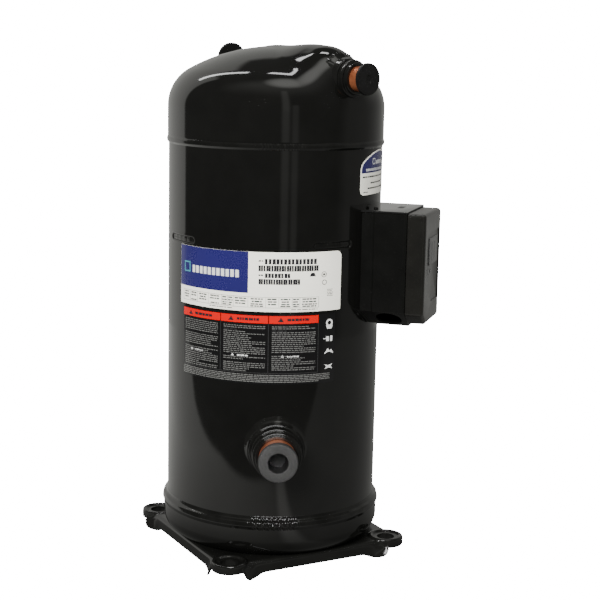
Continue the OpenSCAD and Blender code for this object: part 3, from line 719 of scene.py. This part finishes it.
def suction_collar():
    """Stepped collar whose weld fillet follows the tube."""
    seg = 160
    turn = np.arange(seg) * 2 * math.pi / seg
    ripple = waves(5, 6, 20)
    rows = []
    for r, h in ((38.5, -0.4), (37.2, 0.1), (35.6, 0.6), (34.0, 1.3), (32.6, 2.3), (31.4, 3.6), (30.6, 5.2)):
        r = 28.6 + (r - 30) * (0.55 + 0.45 * np.sin(turn)) + 0.15 * ripple(turn)
        rows.append(turned(tube_face(r * np.cos(turn)) + h, r, turn))
    prof = rounded(
        [(117.0, 28.6, 0), (120.2, 28.6, 1.4), (120.2, 26.2, 0.7), (128.4, 26.0, 1.4), (128.4, 23.6, 0.6),
        (136.0, 23.6, 0.6), (136.0, 25.4, 1.3), (142.0, 25.4, 1.3), (142.0, 22.8, 0.5), (143.5, 22.6, 0.7),
        (143.5, 19.1, 0.4), (104.0, 19.05, 0)])
    for x, r in prof:
        if x < 118 and r > 20:
            x = np.maximum(x, tube_face(r * np.cos(turn)) + 6.0)
        rows.append(turned(x, r, turn))
    rows.append(turned(tube_face(28.0 * np.cos(turn)) - 3.0, 28.0, turn))
    return loft([AT_SUCTION(row) for row in rows], closed=True)


add("suction_collar_ring", suction_collar(), ENAMEL_ROUGH, ["suction_collar"])


SUCTION_TUBE = [
    (109, 17.4, 0.2), (109, 19.0, 0.2), (152, 19.0, 6.0), (157.6, 19.6, 0.5), (157.6, 18.0, 0.5), (152, 17.4, 6.0)]
SUCTION_PLUG = [
    (140, 0, 0), (140, 16.0, 1.2), (157.8, 17.3, 0.2), (157.8, 20.0, 0.5), (158.6, 20.4, 0.8), (165, 20.1, 1.3),
    (165, 10.4, 0.9), (146, 9.4, 1.0), (146, 0, 0)]
# A thin black cup inside the suction plug's bore: painted shade, so the bore looks dark.
BORE_SHADE_LINER = [
    (145.8, 0, 0), (145.8, 9.5, 0.3), (164.0, 10.45, 0.05), (164.0, 10.1, 0.05), (146.6, 8.9, 0.5), (146.6, 0, 0)]
add_turned("suction_tube", SUCTION_TUBE, AT_SUCTION, 128, COPPER, ["suction_stub"], steps=4)
add_turned(
    "suction_rubber_plug", SUCTION_PLUG, AT_SUCTION, 128, RUBBER_GREY, ["suction_plug"],
    "suction_plug")
add_turned("suction_plug_bore_shade", BORE_SHADE_LINER, AT_SUCTION, 64, BLACK_RUBBER_AND_BORE_SHADE, body="suction_plug")

DIS_RING = rounded(
    [(96.0, 27.0, 0.4), (100.0, 24.4, 2.0), (103.4, 21.2, 1.6), (108.6, 20.5, 0.8), (111.0, 20.0, 1.2),
    (111.0, 17.9, 0.6), (114.2, 17.9, 0.6), (114.2, 19.0, 0.9), (117.8, 19.0, 1.1), (117.8, 16.5, 0.6),
    (122.0, 16.2, 1.2), (122.0, 12.72, 0.4), (95.0, 12.72, 0.2)], steps=5)


def dis_wobble(x, r, turn):
    """Rippled all over, and more so in the weld next to the shell."""
    ripple = waves(9, 14, 60)(turn)
    soft = np.clip((104 - x) / 6, 0, 1)
    return x, r + 0.35 * soft * ripple + 0.06 * ripple


add(
    "discharge_collar_ring", lathe(DIS_RING, AT_DISCHARGE, 128, wobble=dis_wobble), ENAMEL_ROUGH,
    ["discharge_collar"])
DIS_TUBE = [(97, 11.4, 0.2), (97, 12.7, 0.2), (133.4, 12.7, 0.45), (133.4, 11.4, 0.45)]
DIS_PLUG = [
    (119, 0, 0), (119, 10.6, 0.8), (133.6, 11.3, 0.1), (133.6, 15.7, 0.5), (134.4, 16.3, 0.7), (137.5, 16.1, 0.9),
    (137.5, 4.2, 0.6), (136.3, 3.2, 0.5), (136.0, 0, 0)]
add_turned("discharge_tube", DIS_TUBE, AT_DISCHARGE, 96, COPPER, ["discharge_stub"], steps=3)
add_turned(
    "discharge_rubber_plug", DIS_PLUG, AT_DISCHARGE, 96, BLACK_RUBBER_AND_BORE_SHADE, ["discharge_plug"],
    "discharge_plug")


# ---- terminal box ----


BOX_NEAR, BOX_FAR = -40.0, 44.0
BOX_CUT = (26.0, 17.5)
BOX_FRONT = 156.0
BOX_MIDDLE = np.array([0.0, 0.0, (BOX_Z[0] + BOX_Z[1]) / 2])
CONDUIT_R = 13.9
LID_Z = 367.5
COVER_FRONT = 175.5


def cut_corner(sides, levels, chamfer, inset, r):
    """An upright rectangle, inset, with its lower near corner cut off, as (across, up) points."""
    a, b = chamfer
    k = 1 - inset * (a + b - math.hypot(a, b)) / (a * b)
    near, far, lo, hi = sides[0] + inset, sides[1] - inset, levels[0] + inset, levels[1] - inset
    return rounded([(near + a * k, lo, r), (far, lo, r), (far, hi, r), (near, hi, r), (near, lo + b * k, r)], steps=6)


def flat_row(out, outline):
    """An (across, up) outline at one distance, or one for each point, out from the machine's axis."""
    return AT_BOX(np.column_stack([np.broadcast_to(out, len(outline)), outline]))


def conduit(p):
    """Local (into the box, along the shell, across the face) points at the cut-off corner's middle."""
    p = np.asarray(p, float)
    run = np.array([0, BOX_CUT[0], -BOX_CUT[1]]) / math.hypot(*BOX_CUT)
    into = np.array([0, BOX_CUT[1], BOX_CUT[0]]) / math.hypot(*BOX_CUT)
    middle = np.array([137.0, BOX_NEAR + BOX_CUT[0] / 2, BOX_Z[0] + BOX_CUT[1] / 2])
    return AT_BOX(middle + p[..., :1] * into + p[..., 1:2] * np.array([1.0, 0, 0]) + p[..., 2:3] * run)


def box_shell():
    rows = []
    for u, inset, r in (
            (118, 3.4, 0.8), (None, 3.4, 0.8), (None, 0.9, 1.6), (120.6, 0.9, 1.6), (121.6, 0.1, 1.6),
            (BOX_FRONT - 0.6, 0.0, 1.6), (BOX_FRONT - 0.15, 0.2, 1.5), (BOX_FRONT, 0.6, 1.3), (BOX_FRONT, 2.1, 1.0),
            (BOX_FRONT - 0.3, 2.5, 0.8), (120.5, 2.5, 0.8)):
        o = cut_corner((BOX_NEAR, BOX_FAR), BOX_Z, BOX_CUT, inset, r)
        rows.append(flat_row(tube_face(o[:, 0]) - 0.4 if u is None else u, o))
    first, last = (AT_BOX(BOX_MIDDLE + [u, 0, 0]) for u in (118, 120.5))
    holes = [hole(-6, 8, CONDUIT_R, conduit, 96), hole(100, 121, 23.0, outward(BOX, TERMINAL_Z))]
    holes += [hole(100, 121, 3.0, outward(BOX, z, 24), 32) for z in (266, 352)]
    return cut("box", to_mesh("box", loft(rows, first=first, last=last)), holes)


add("terminal_box_shell", box_shell(), BOX_STEEL, ["terminal_box"])


def top_plate():
    rows = []
    near, far = BOX_NEAR - 1, BOX_FAR + 1
    for z, i in ((-2.0, 0.5), (-1.7, 0.1), (-1.1, 0), (-0.5, 0), (-0.1, 0.15), (0, 0.5)):
        across = np.linspace(far - i, near + i, 24)
        edge = BOX_FRONT - i
        front = rounded([(112, near + i, 0), (edge, near + i, 2.0), (edge, far - i, 2.0), (112, far - i, 0)])[1:-1]
        o = np.vstack([np.column_stack([tube_face(across) - 0.4, across]), front])
        rows.append(AT_BOX(np.column_stack([o, np.full(len(o), LID_Z + z)])))
    me = to_mesh("top_plate", loft(rows, caps=True))
    dent = brick(-3.5, 3.5, -9, 9, -1.2, 1.2, outward(BOX, LID_Z + 0.8, 4, 140), 1.0)
    return cut("top_plate", me, [dent])


PLATE_PAINT = finish_of(
    "plate_paint", 0.005, 0.008, (0.14, 0.2), patch=20, grain=300, coat=(1.0, 0.04), bump=0.1, depth=0.0003)
add("box_top_plate", top_plate(), PLATE_PAINT)
BUMP_AT = AT_BOX([118.6, -22.0, LID_Z - 0.2])
add_turned(
    "box_top_bump", [(0, 0, 0), (0, 2.6, 0.4), (2.0, 2.1, 0.9), (2.3, 0, 0)], lambda p: upright(p) + BUMP_AT, 32,
    BOX_STEEL, steps=4)


def cover():
    """Open-backed moulding with a rounded front edge and a shallow well in its face."""
    back = BOX_FRONT + 0.2
    rim = [(COVER_FRONT - 3.5, 2.6, 2.0), (back, 2.5, 2.0), (back, 0.3, 4.0), (back + 0.3, 0.0, 4.2)]
    for k in range(9):
        a = math.pi / 2 * k / 8
        rim.append((COVER_FRONT - 3.6 * (1 - math.sin(a)), 3.6 * (1 - math.cos(a)), 4.2 - 2.4 * (1 - math.cos(a))))
    well = [(COVER_FRONT, -0.5, 1.6), (COVER_FRONT - 0.15, -0.1, 1.5), (COVER_FRONT - 1.1, 0.3, 1.3),
            (COVER_FRONT - 1.3, 0.8, 1.0)]
    sides, levels = (BOX_NEAR + 2, BOX_FAR - 2), (BOX_Z[0] + 4.5, BOX_Z[1] - 2)
    rows = [flat_row(u, cut_corner(sides, levels, (16.0, 12.0), inset, r)) for u, inset, r in rim]
    rows += [flat_row(u, cut_corner((-24, 37), (269.5, 344.5), BOX_CUT, inset, r)) for u, inset, r in well]
    first, last = (AT_BOX(BOX_MIDDLE + [u, 4.0, 0]) for u in (rim[0][0], well[-1][0]))
    return loft(rows, first=first, last=last)


add("cover_moulding", cover(), PLASTIC, ["terminal_box_cover"], "terminal_box_cover")
PLATE_GREY = finish_of("cover_plate", 0.08, (0.11, 0.11, 0.105), (0.3, 0.4), patch=50, grain=800, bump=0.2)
PANEL = [brick(COVER_FRONT - deep, COVER_FRONT - shy, *box, AT_BOX, r) for deep, shy, *box, r in (
    (3, 0.3, -11, 29, 309, 338, 0.9), (1, 0.05, 0, 2.4, 313, 334, 0.3), (1, 0.05, 12, 14.4, 313, 334, 0.3),
    (3, 0.6, -19, -9, 300, 305.5, 0.6), (3, 0.6, -5, 3, 301, 304, 0.5))]
add("cover_plate", merge(*PANEL), PLATE_GREY, body="terminal_box_cover")


# ---- labels: thin sheets on the tube, with raised print ----

FACE = R + 0.3
SHEET = (R - 0.02, FACE)


def band(deg, low, high, r0, r1):
    """A sheet on the tube between two heights that may change along the angle."""
    corners = ((r0, low), (r1, low), (r1, high), (r0, high))
    return loft(np.stack([around(r, np.radians(deg), z) for r, z in corners], 1), caps=True)


def steps(a0, a1, pitch=1.5):
    return np.linspace(a0, a1, max(2, int(abs(a1 - a0) / pitch) + 1))


def sheet(a0, a1, z0, z1, r, low_share=1.0):
    """A label with its right corners rounded (the radius in millimetres), the lower one by a share of that."""
    inset = DEG * (1 - np.cos(np.linspace(0, math.pi / 2, 9)))
    deg = np.unique(np.concatenate([steps(a0, a1), a1 - r * inset]))
    past = np.clip(r - (a1 - deg) / DEG, 0, None)
    bite = r - np.sqrt(np.clip(r**2 - past**2, 0, None))
    return band(deg, z0 + low_share * bite, z1 - bite, *SHEET)


class Ink:
    """Printed marks that become one piece."""

    def __init__(self, rng, level=0.0):
        self.rng, self.parts, r = rng, [], FACE + 0.02 + level
        self.skin = (r - 0.06, r + 0.03)

    def bar(self, a0, a1, z0, z1):
        self.parts.append(band(steps(a0, a1), z0, z1, *self.skin))

    def shape(self, *points):
        """A small polygon of (angle, z)."""
        deg, z = np.array(points, float).T
        self.parts.append(loft([around(r, np.radians(deg), z) for r in self.skin], caps=True))

    def frame(self, a0, a1, z0, z1, w):
        g = w * DEG
        self.bar(a0, a1, z0, z0 + w)
        self.bar(a0, a1, z1 - w, z1)
        self.bar(a0, a0 + g, z0 + w, z1 - w)
        self.bar(a1 - g, a1, z0 + w, z1 - w)

    def ring(self, a, z, r, w):
        t = np.arange(28) * 2 * math.pi / 28
        low, high = self.skin
        rows = [around(lift, np.radians(a + DEG * rr * np.cos(t)), z + rr * np.sin(t))
                for rr, lift in ((r, high), (r, low), (r - w, low), (r - w, high))]
        self.parts.append(loft(np.stack(rows), closed=True))

    def words(self, a0, a1, z, h, mean, gap=0.55):
        """Dashes that stand for words."""
        a = a0
        while a < a1:
            b = min(a + mean * self.rng.uniform(0.45, 1.5), a1)
            if b - a > 0.25:
                self.bar(a, b, z - h / 2, z + h / 2)
            a = b + gap * self.rng.uniform(0.7, 1.3)

    def blocks(self, a0, a1, z, h, count, fill=0.72):
        """Evenly spaced upright blocks."""
        pitch = (a1 - a0) / count
        for i in range(count):
            w = pitch * fill * self.rng.uniform(0.8, 1.1)
            self.bar(a0 + i * pitch, a0 + i * pitch + w, z - h / 2, z + h / 2)

    def piece(self, name, slot, finish):
        add(name, merge(*self.parts), finish, sharp=30)


def nameplate():
    rng = np.random.default_rng(3)
    add("nameplate_sheet", sheet(-174.5, -80.2, 266.5, 328.0, 5.5, 0.1), PAPER, ["nameplate"])
    blue = Ink(rng)
    blue.bar(-174.4, -130.2, 285.4, 327.9)
    blue.piece("nameplate_blue", "label_light", INK_BLUE)
    white = Ink(rng, 0.05)
    for k in range(11):
        white.bar(-164.0 + 2.7 * k, -162.1 + 2.7 * k, 301.0, 308.6)
    white.piece("nameplate_blue_blocks", "label_light", INK_WHITE)
    teal = Ink(rng, 0.05)
    teal.frame(-170.8, -165.8, 300.6, 311.6, 1.4)
    teal.piece("nameplate_square", "label_light", INK_TEAL)
    dark = Ink(rng)
    dark.blocks(-121.7, -94.5, 318.4, 5.6, 14, 0.8)
    dark.words(-124.9, -122.6, 319.0, 1.4, 1.0, 0.3)
    dark.blocks(-124.9, -93.7, 311.4, 6.0, 24, 0.88)
    dark.blocks(-121.6, -108.4, 304.0, 4.6, 8, 0.8)
    dark.words(-124.9, -122.4, 304.3, 1.4, 1.0, 0.3)
    dark.blocks(-124.8, -103.5, 297.6, 5.6, 17, 0.88)
    dark.ring(-90.6, 304.5, 3.0, 0.6)
    dark.bar(-91.2, -90.0, 303.6, 305.4)
    dark.shape((-98.6, 303.0), (-97.6, 306.6), (-96.0, 306.6), (-95.2, 303.0))
    dark.ring(-90.3, 296.3, 2.7, 0.6)
    dark.piece("nameplate_print", "label_light", INK_DARK)
    soft = Ink(rng)
    soft.frame(-171.6, -93.3, 270.6, 281.7, 0.3)
    edges = [-171.6, -165.8, -160.2, -152.8, -144.6, -141.2, -138.0, -130.2, -121.0, -114.4, -107.6, -103.6, -93.3]
    for e in edges[1:-1]:
        soft.bar(e, e + 0.25 * DEG, 270.8, 281.4)
    for a, b in zip(edges, edges[1:]):
        for z in (279.7, 277.0, 274.4, 272.3):
            if b - a > 2 and rng.random() > 0.15:
                inset = (b - a) * rng.uniform(0.1, 0.24)
                soft.words(a + inset, b - inset, z, 1.3, 1.8, 0.35)
    soft.words(-152.0, -138.0, 269.0, 0.8, 2.0)
    soft.words(-108.0, -94.0, 269.0, 0.8, 2.0)
    for k, z in enumerate((288.6, 287.0, 285.4, 283.8, 282.2)):
        soft.words(-88.6, -85.0 - 0.4 * (k % 2), z, 0.6, 1.2, 0.3)
    soft.piece("nameplate_table", "label_light", INK_GREY)


def info_label():
    rng = np.random.default_rng(4)
    add("info_sheet", sheet(-171.6, -83.2, 190.6, 263.2, 2.0), PAPER_BLACK, ["info_label"])
    columns = [(-171.4, -145.2), (-144.8, -119.6), (-119.2, -93.2)]
    red, dark, grey, soft, white = (Ink(rng, level) for level in (0, 0.05, 0, 0, 0))
    for a, b in columns:
        red.bar(a, b, 254.4, 262.4)
        m = (a + b) / 2
        dark.shape((m - 8.4, 256.2), (m - 6.9, 260.8), (m - 5.4, 256.2))
        dark.words(m - 3.6, m + 8, 258.4, 2.6, 1.6, 0.35)
        z = 251.2
        while z > 204:
            full = rng.random()
            end = b - (1.4 if full > 0.3 else rng.uniform(5, 14))
            if rng.random() > 0.06:
                soft.words(a + 1.6, end, z, 0.85, 1.5, 0.4)
            z -= 2.05
        grey.words(a + 1.6, a + 9, 246.9, 1.2, 3.0, 0.5)
        white.words(m - 3.5, m + 2.5, 220.2, 1.3, 1.6, 0.3)
        white.shape((m - 6.8, 219.4), (m - 5.9, 221.6), (m - 5.0, 219.4))
    for e in (-171.4, -145.0, -119.4, -93.2):
        grey.bar(e - 0.35 * DEG, e + 0.35 * DEG, 202.4, 254.4)
    grey.bar(-171.4, -93.2, 202.0, 202.7)
    z = 200.2
    for k in range(5):
        soft.words(-171.2, -86.0 - 6 * (k == 4), z, 0.9, 2.2, 0.3)
        z -= 1.75
    a = -86.8
    white.ring(a, 253.6, 4.0, 1.8)
    white.shape((a - 1.3, 247.3), (a - 2.0, 251.0), (a + 2.0, 251.0), (a + 1.3, 247.3))
    white.shape((a - 1.8, 234.4), (a - 1.8, 239.2), (a + 1.9, 239.8), (a + 1.9, 234.0))
    white.bar(a - 3.4, a - 1.7, 236.6, 237.4)
    white.shape((a - 2.8, 221.2), (a - 0.6, 226.8), (a + 0.4, 224.0), (a + 1.4, 225.6), (a + 2.8, 221.2))
    white.shape(
        (a - 2.6, 209.9), (a - 0.2, 208.6), (a + 2.4, 210.4), (a + 1.2, 207.4), (a + 2.6, 204.9), (a, 206.2),
        (a - 2.4, 204.9), (a - 1.2, 207.4))
    for ink, name, finish in (
            (red, "info_red", INK_RED), (dark, "info_red_marks", INK_DARK), (grey, "info_frame", INK_GREY),
            (soft, "info_lines", INK_SOFT), (white, "info_marks", INK_WHITE)):
        ink.piece(name, "label_dark", finish)


def arched_label():
    rng = np.random.default_rng(5)

    def arch(inset):
        """Low and high edges along the arc, for the label shrunk by an inset."""
        half, foot, end, rise = 44.67 - inset, 5.0, 11.2, 76.0 - inset
        top = 428.6 - inset
        centre = top - rise
        at = half - (end - inset)
        end_z = centre + math.sqrt((rise - (end - inset)) ** 2 - at**2)
        ends = half - 12 * (1 - np.cos(np.linspace(0, math.pi / 2, 12)))
        s = np.unique(np.concatenate([np.linspace(-half, half, 60), ends, -ends]))
        e = end - inset
        meet = at * rise / (rise - e)
        high = np.where(
            np.abs(s) <= meet, centre + np.sqrt(np.clip(rise**2 - s**2, 0, None)),
            end_z + np.sqrt(np.clip(e**2 - (np.abs(s) - at) ** 2, 0, None)))
        f = foot - inset * 0.5
        low = 382.6 + inset + f - np.sqrt(np.clip(f**2 - np.clip(np.abs(s) - half + f, 0, None) ** 2, 0, None))
        return BOX + DEG * s, low, high

    deg, low, high = arch(0)
    add("round_label_sheet", band(deg, low, high, *SHEET), PAPER, ["round_label"])
    blue = Ink(rng)
    deg, low, high = arch(1.5)
    blue.parts.append(band(deg, 405.5, high, *blue.skin))
    blue.piece("round_label_blue", "label_round", INK_BLUE)
    white = Ink(rng, 0.05)
    white.blocks(BOX - 17.5, BOX + 17.5, 408.6, 2.6, 22)
    white.frame(BOX - 10.5, BOX - 7.3, 413.8, 420.2, 0.9)
    for k in range(8):
        white.bar(BOX - 6.0 + 1.8 * k, BOX - 4.8 + 1.8 * k, 413.9, 417.9)
    white.piece("round_label_blocks", "label_round", INK_WHITE)
    soft = Ink(rng)
    for half, z, h in ((20.5, 401.4, 1.5), (12.5, 394.8, 1.6), (15.5, 389.4, 1.5)):
        soft.words(BOX - half, BOX + half, z, h, 1.6, 0.4)
    soft.words(BOX - 19.5, BOX - 15.5, 385.6, 0.9, 1.2, 0.3)
    soft.piece("round_label_lines", "label_round", INK_GREY)


nameplate()
info_label()
arched_label()


# ---- finishes of the CAD nodes that are shown as they are ----

WEAR = {
    "pressed_steel": (PRESSED, ["suction_baffle", "muffler_plate", "lower_bearing_bracket"]),
    "zinc_steel": (ZINC, ["box_studs", "terminal_housing", "scroll_bolts"]),
    "copper_tube": (COPPER, ["terminal_pins"]),
    "terminal_resin": (RESIN, ["terminal_block"]),
    "brass_screw": (BRASS, ["ground_screw"]),
    "lead_resin": (LEAD, ["motor_lead_block"]),
    "ground_steel": (GROUND, ["valve_cage", "valve_disc", "drive_bush", "crankshaft", "oil_pickup"]),
    "alloy": (ALLOY, ["floating_seal", "oldham_ring", "rotor_end_rings"]),
    "casting": (CASTING, ["fixed_scroll", "orbiting_scroll", "main_bearing_housing", "upper_counterweight",
                          "lower_counterweight"]),
    "bearing_bronze": (BRONZE, ["scroll_bearing", "main_bearing", "lower_bearing", "thrust_washer"]),
    "lamination": (LAMINATION, ["rotor_core", "stator_core"]),
    "winding": (WINDING, ["stator_windings"]),
    "protector_wrap": (WRAP, ["motor_protector"]),
    "magnet": (MAGNET, ["sump_magnet"]),
}
for slot_name, (finish, cad_names) in WEAR.items():
    for cad_name in cad_names:
        ob = frame["nodes"][cad_name]
        ob.data.materials.clear()
        ob.data.materials.append(finish)


# ---- camera, light and background ----

CAMERA_TURN = -27.2


def cam_frame(v):
    """From axes with the camera straight in front (+Y away from it) to the row frame."""
    a = math.radians(CAMERA_TURN)
    x, y, z = v
    return (x * math.cos(a) - y * math.sin(a), x * math.sin(a) + y * math.cos(a), z)


camera = new_object("camera", bpy.data.cameras.new("camera"))
bpy.context.scene.camera = camera
camera.data.lens = 84.85
camera.data.sensor_width = 36.0
camera.data.clip_end = 50
matrix = np.eye(4)
matrix[:3, 0] = cam_frame((0.999688, -0.015736, 0.019405))
matrix[:3, 1] = cam_frame((-0.016318, 0.176891, 0.984095))
matrix[:3, 2] = np.cross(matrix[:3, 0], matrix[:3, 1])
matrix[:3, 3] = cam_frame((0.0, -1.5316, 0.5337))
camera.matrix_world = Matrix(matrix.tolist())


ROOM = 0.064
WARM = (1, 1, 0.95, 1)


def camera_axes(t, vector):
    """A vector with the camera straight in front, and its parts."""
    turn = put(t, "VectorRotate", {"rotation_type": "Z_AXIS"}, Vector=vector, Angle=math.radians(-CAMERA_TURN))
    return turn.outputs[0], put(t, "SeparateXYZ", Vector=turn.outputs[0]).outputs


def sky():
    """White to the camera; to reflections, a dark room with a bright backdrop behind the object."""
    world = bpy.context.scene.world = bpy.data.worlds.new("room")
    t = fresh_tree(world)
    ray = put(t, "TexCoord").outputs["Generated"]
    _, (x, y, z) = camera_axes(t, ray)
    az = math_node(t, "MULTIPLY", math_node(t, "ARCTAN2", y, x), 180 / math.pi)
    el = math_node(t, "MULTIPLY", math_node(t, "ARCSINE", z), 180 / math.pi)
    level = math_node(t, "MULTIPLY", ramp(t, az, 85, 145, 0.33, 0.66), ramp(t, az, 20, 85, 0.3, 1))
    sides = math_node(t, "MULTIPLY", ramp(t, az, -24, -6, smooth=True), ramp(t, az, 157, 160.5, 1, 0, True))
    top = ramp(t, az, 100, 112, 42, 52)
    rise = ramp(t, el, math_node(t, "SUBTRACT", top, 3.0), math_node(t, "ADD", top, 3.0), 1, 0.0, True)
    glow = math_node(t, "MULTIPLY", level, sides, rise)
    for middle, half, low, high, strength in ((-80, 6, -6, 52, 0.34), (-70, 5, -30, 15, 0.18)):
        off = math_node(t, "ABSOLUTE", math_node(t, "SUBTRACT", az, middle))
        strip = math_node(
            t, "MULTIPLY", ramp(t, off, 0.3 * half, half, strength, 0, True), ramp(t, el, low - 14, low + 8),
            ramp(t, el, high - 4, high, 1, 0))
        glow = math_node(t, "ADD", glow, strip)
    ahead = math_node(t, "MULTIPLY", ramp(t, el, 30, 70, 0, 0.3, True), ramp(t, y, -0.4, 0.0, 1, 0, True))
    near = put(t, "VectorMath", {"operation": "DOT_PRODUCT"}, Vector=ray)
    near.inputs[1].default_value = cam_frame((0.1197, -0.2612, 0.9578))
    blob = ramp(t, near.outputs["Value"], 0.95, 0.998, 0, 1.5, True)
    lit = put(t, "Background", Color=WARM, Strength=math_node(t, "ADD", glow, ahead, blob, ROOM))
    white = put(t, "Background", Color=(1, 1, 1, 1), Strength=20.0)
    mix = put(t, "MixShader", Fac=put(t, "LightPath").outputs["Is Camera Ray"])
    plug(t, lit.outputs[0], mix.inputs[1])
    plug(t, white.outputs[0], mix.inputs[2])
    put(t, "OutputWorld", Surface=mix.outputs[0])


sky()


def lamp(name, at, aim, size, radiance, diffuse=False, turn=0.0):
    """A rectangular area light in the camera-facing axes, for diffuse surfaces only or for reflections only."""
    data = bpy.data.lights.new(name, "AREA")
    data.shape = "RECTANGLE"
    data.size, data.size_y = size
    data.energy = radiance * math.pi * size[0] * size[1]
    ob = new_object(name, data)
    p, q = Vector(cam_frame(at)), Vector(cam_frame(aim))
    ob.location = p
    ob.rotation_mode = "QUATERNION"
    ob.rotation_quaternion = (p - q).to_track_quat("Z", "Y") @ Quaternion((0, 0, 1), math.radians(turn))
    ob.visible_camera = False
    ob.visible_glossy, ob.visible_diffuse = not diffuse, diffuse


def tube_light(name, start, end, z, width, radiance):
    """A lit tube on the ceiling, which only reflections see."""
    mid = [(a + b) / 2 for a, b in zip(start, end)]
    run = [b - a for a, b in zip(start, end)]
    turn = math.degrees(math.atan2(run[1], run[0])) + CAMERA_TURN
    lamp(name, (*mid, z), (*mid, 0), (math.hypot(*run), width), radiance, turn=turn)


tube_light("ceiling_tube_left", (-1.9, 1.25), (-0.42, 0.636), 2.2, 0.2, 9)
tube_light("ceiling_tube_right", (-0.11, 0.508), (0.3, 0.338), 2.2, 0.2, 9)
lamp("seam_glint", (-0.005, -0.34, 0.2), (-0.005, -0.34, 0), (0.14, 0.16), 16, turn=CAMERA_TURN)
lamp("front_key", (-0.9, -2.2, 1.5), (0, 0, 0.3), (1.2, 1.2), 46, diffuse=True)
lamp("right_fill", (2.0, -1.0, 1.2), (0, 0, 0.3), (1.0, 1.0), 12, diffuse=True)


def glow_floor():
    """A glowing sheet, standing in for a lit floor, that only reflections see: it ends in front of the object, and
    its glow is painted darker near the object as a shadow.
    """
    me = bpy.data.meshes.new("floor")
    n = 64
    ring = [(1.3 * math.cos(2 * math.pi * k / n), 1.3 * math.sin(2 * math.pi * k / n), -0.0155) for k in range(n)]
    me.from_pydata(ring, [], [list(range(n))])
    mat = bpy.data.materials.new("floor_glow")
    t = fresh_tree(mat)
    at, (x, y, _) = camera_axes(t, put(t, "TexCoord").outputs["Object"])
    edges = []
    for ax, ay, bx, by, soft in (
            (-4.6, 1.8, -0.789, -0.053, 0.03), (-0.789, -0.053, -0.401, -0.352, 0.02),
            (-0.401, -0.352, -0.117, -0.427, 0.02)):
        run = math.hypot(bx - ax, by - ay)
        nx, ny = -(by - ay) / run, (bx - ax) / run
        away = math_node(t, "ADD", math_node(t, "MULTIPLY", x, nx), math_node(t, "MULTIPLY", y, ny))
        edges.append(ramp(t, away, nx * ax + ny * ay - soft, nx * ax + ny * ay + soft, smooth=True))
    # Painted light: the glow is brighter to the left and has one bright streak.
    bright = ramp(t, x, -0.5, 0.12, 0.66, 0.15)
    streak = ramp(t, math_node(t, "ABSOLUTE", math_node(t, "SUBTRACT", x, 0.07)), 0.01, 0.045, 0.36, 0, True)
    far = put(t, "VectorMath", {"operation": "LENGTH"}, Vector=at).outputs["Value"]
    # The last factor dims the glow near the object: painted shadow.
    glow = math_node(
        t, "MULTIPLY", math_node(t, "ADD", bright, streak), math_node(t, "MAXIMUM", *edges[:2]), edges[2],
        ramp(t, far, 0.12, 0.3, 0.1, 1, True))
    e = put(t, "Emission", Color=WARM, Strength=math_node(t, "ADD", glow, ROOM))
    put(t, "OutputMaterial", Surface=e.outputs[0])
    me.materials.append(mat)
    ob = new_object("floor", me)
    ob.visible_camera = False
    ob.visible_diffuse = False
    ob.visible_shadow = False


glow_floor()
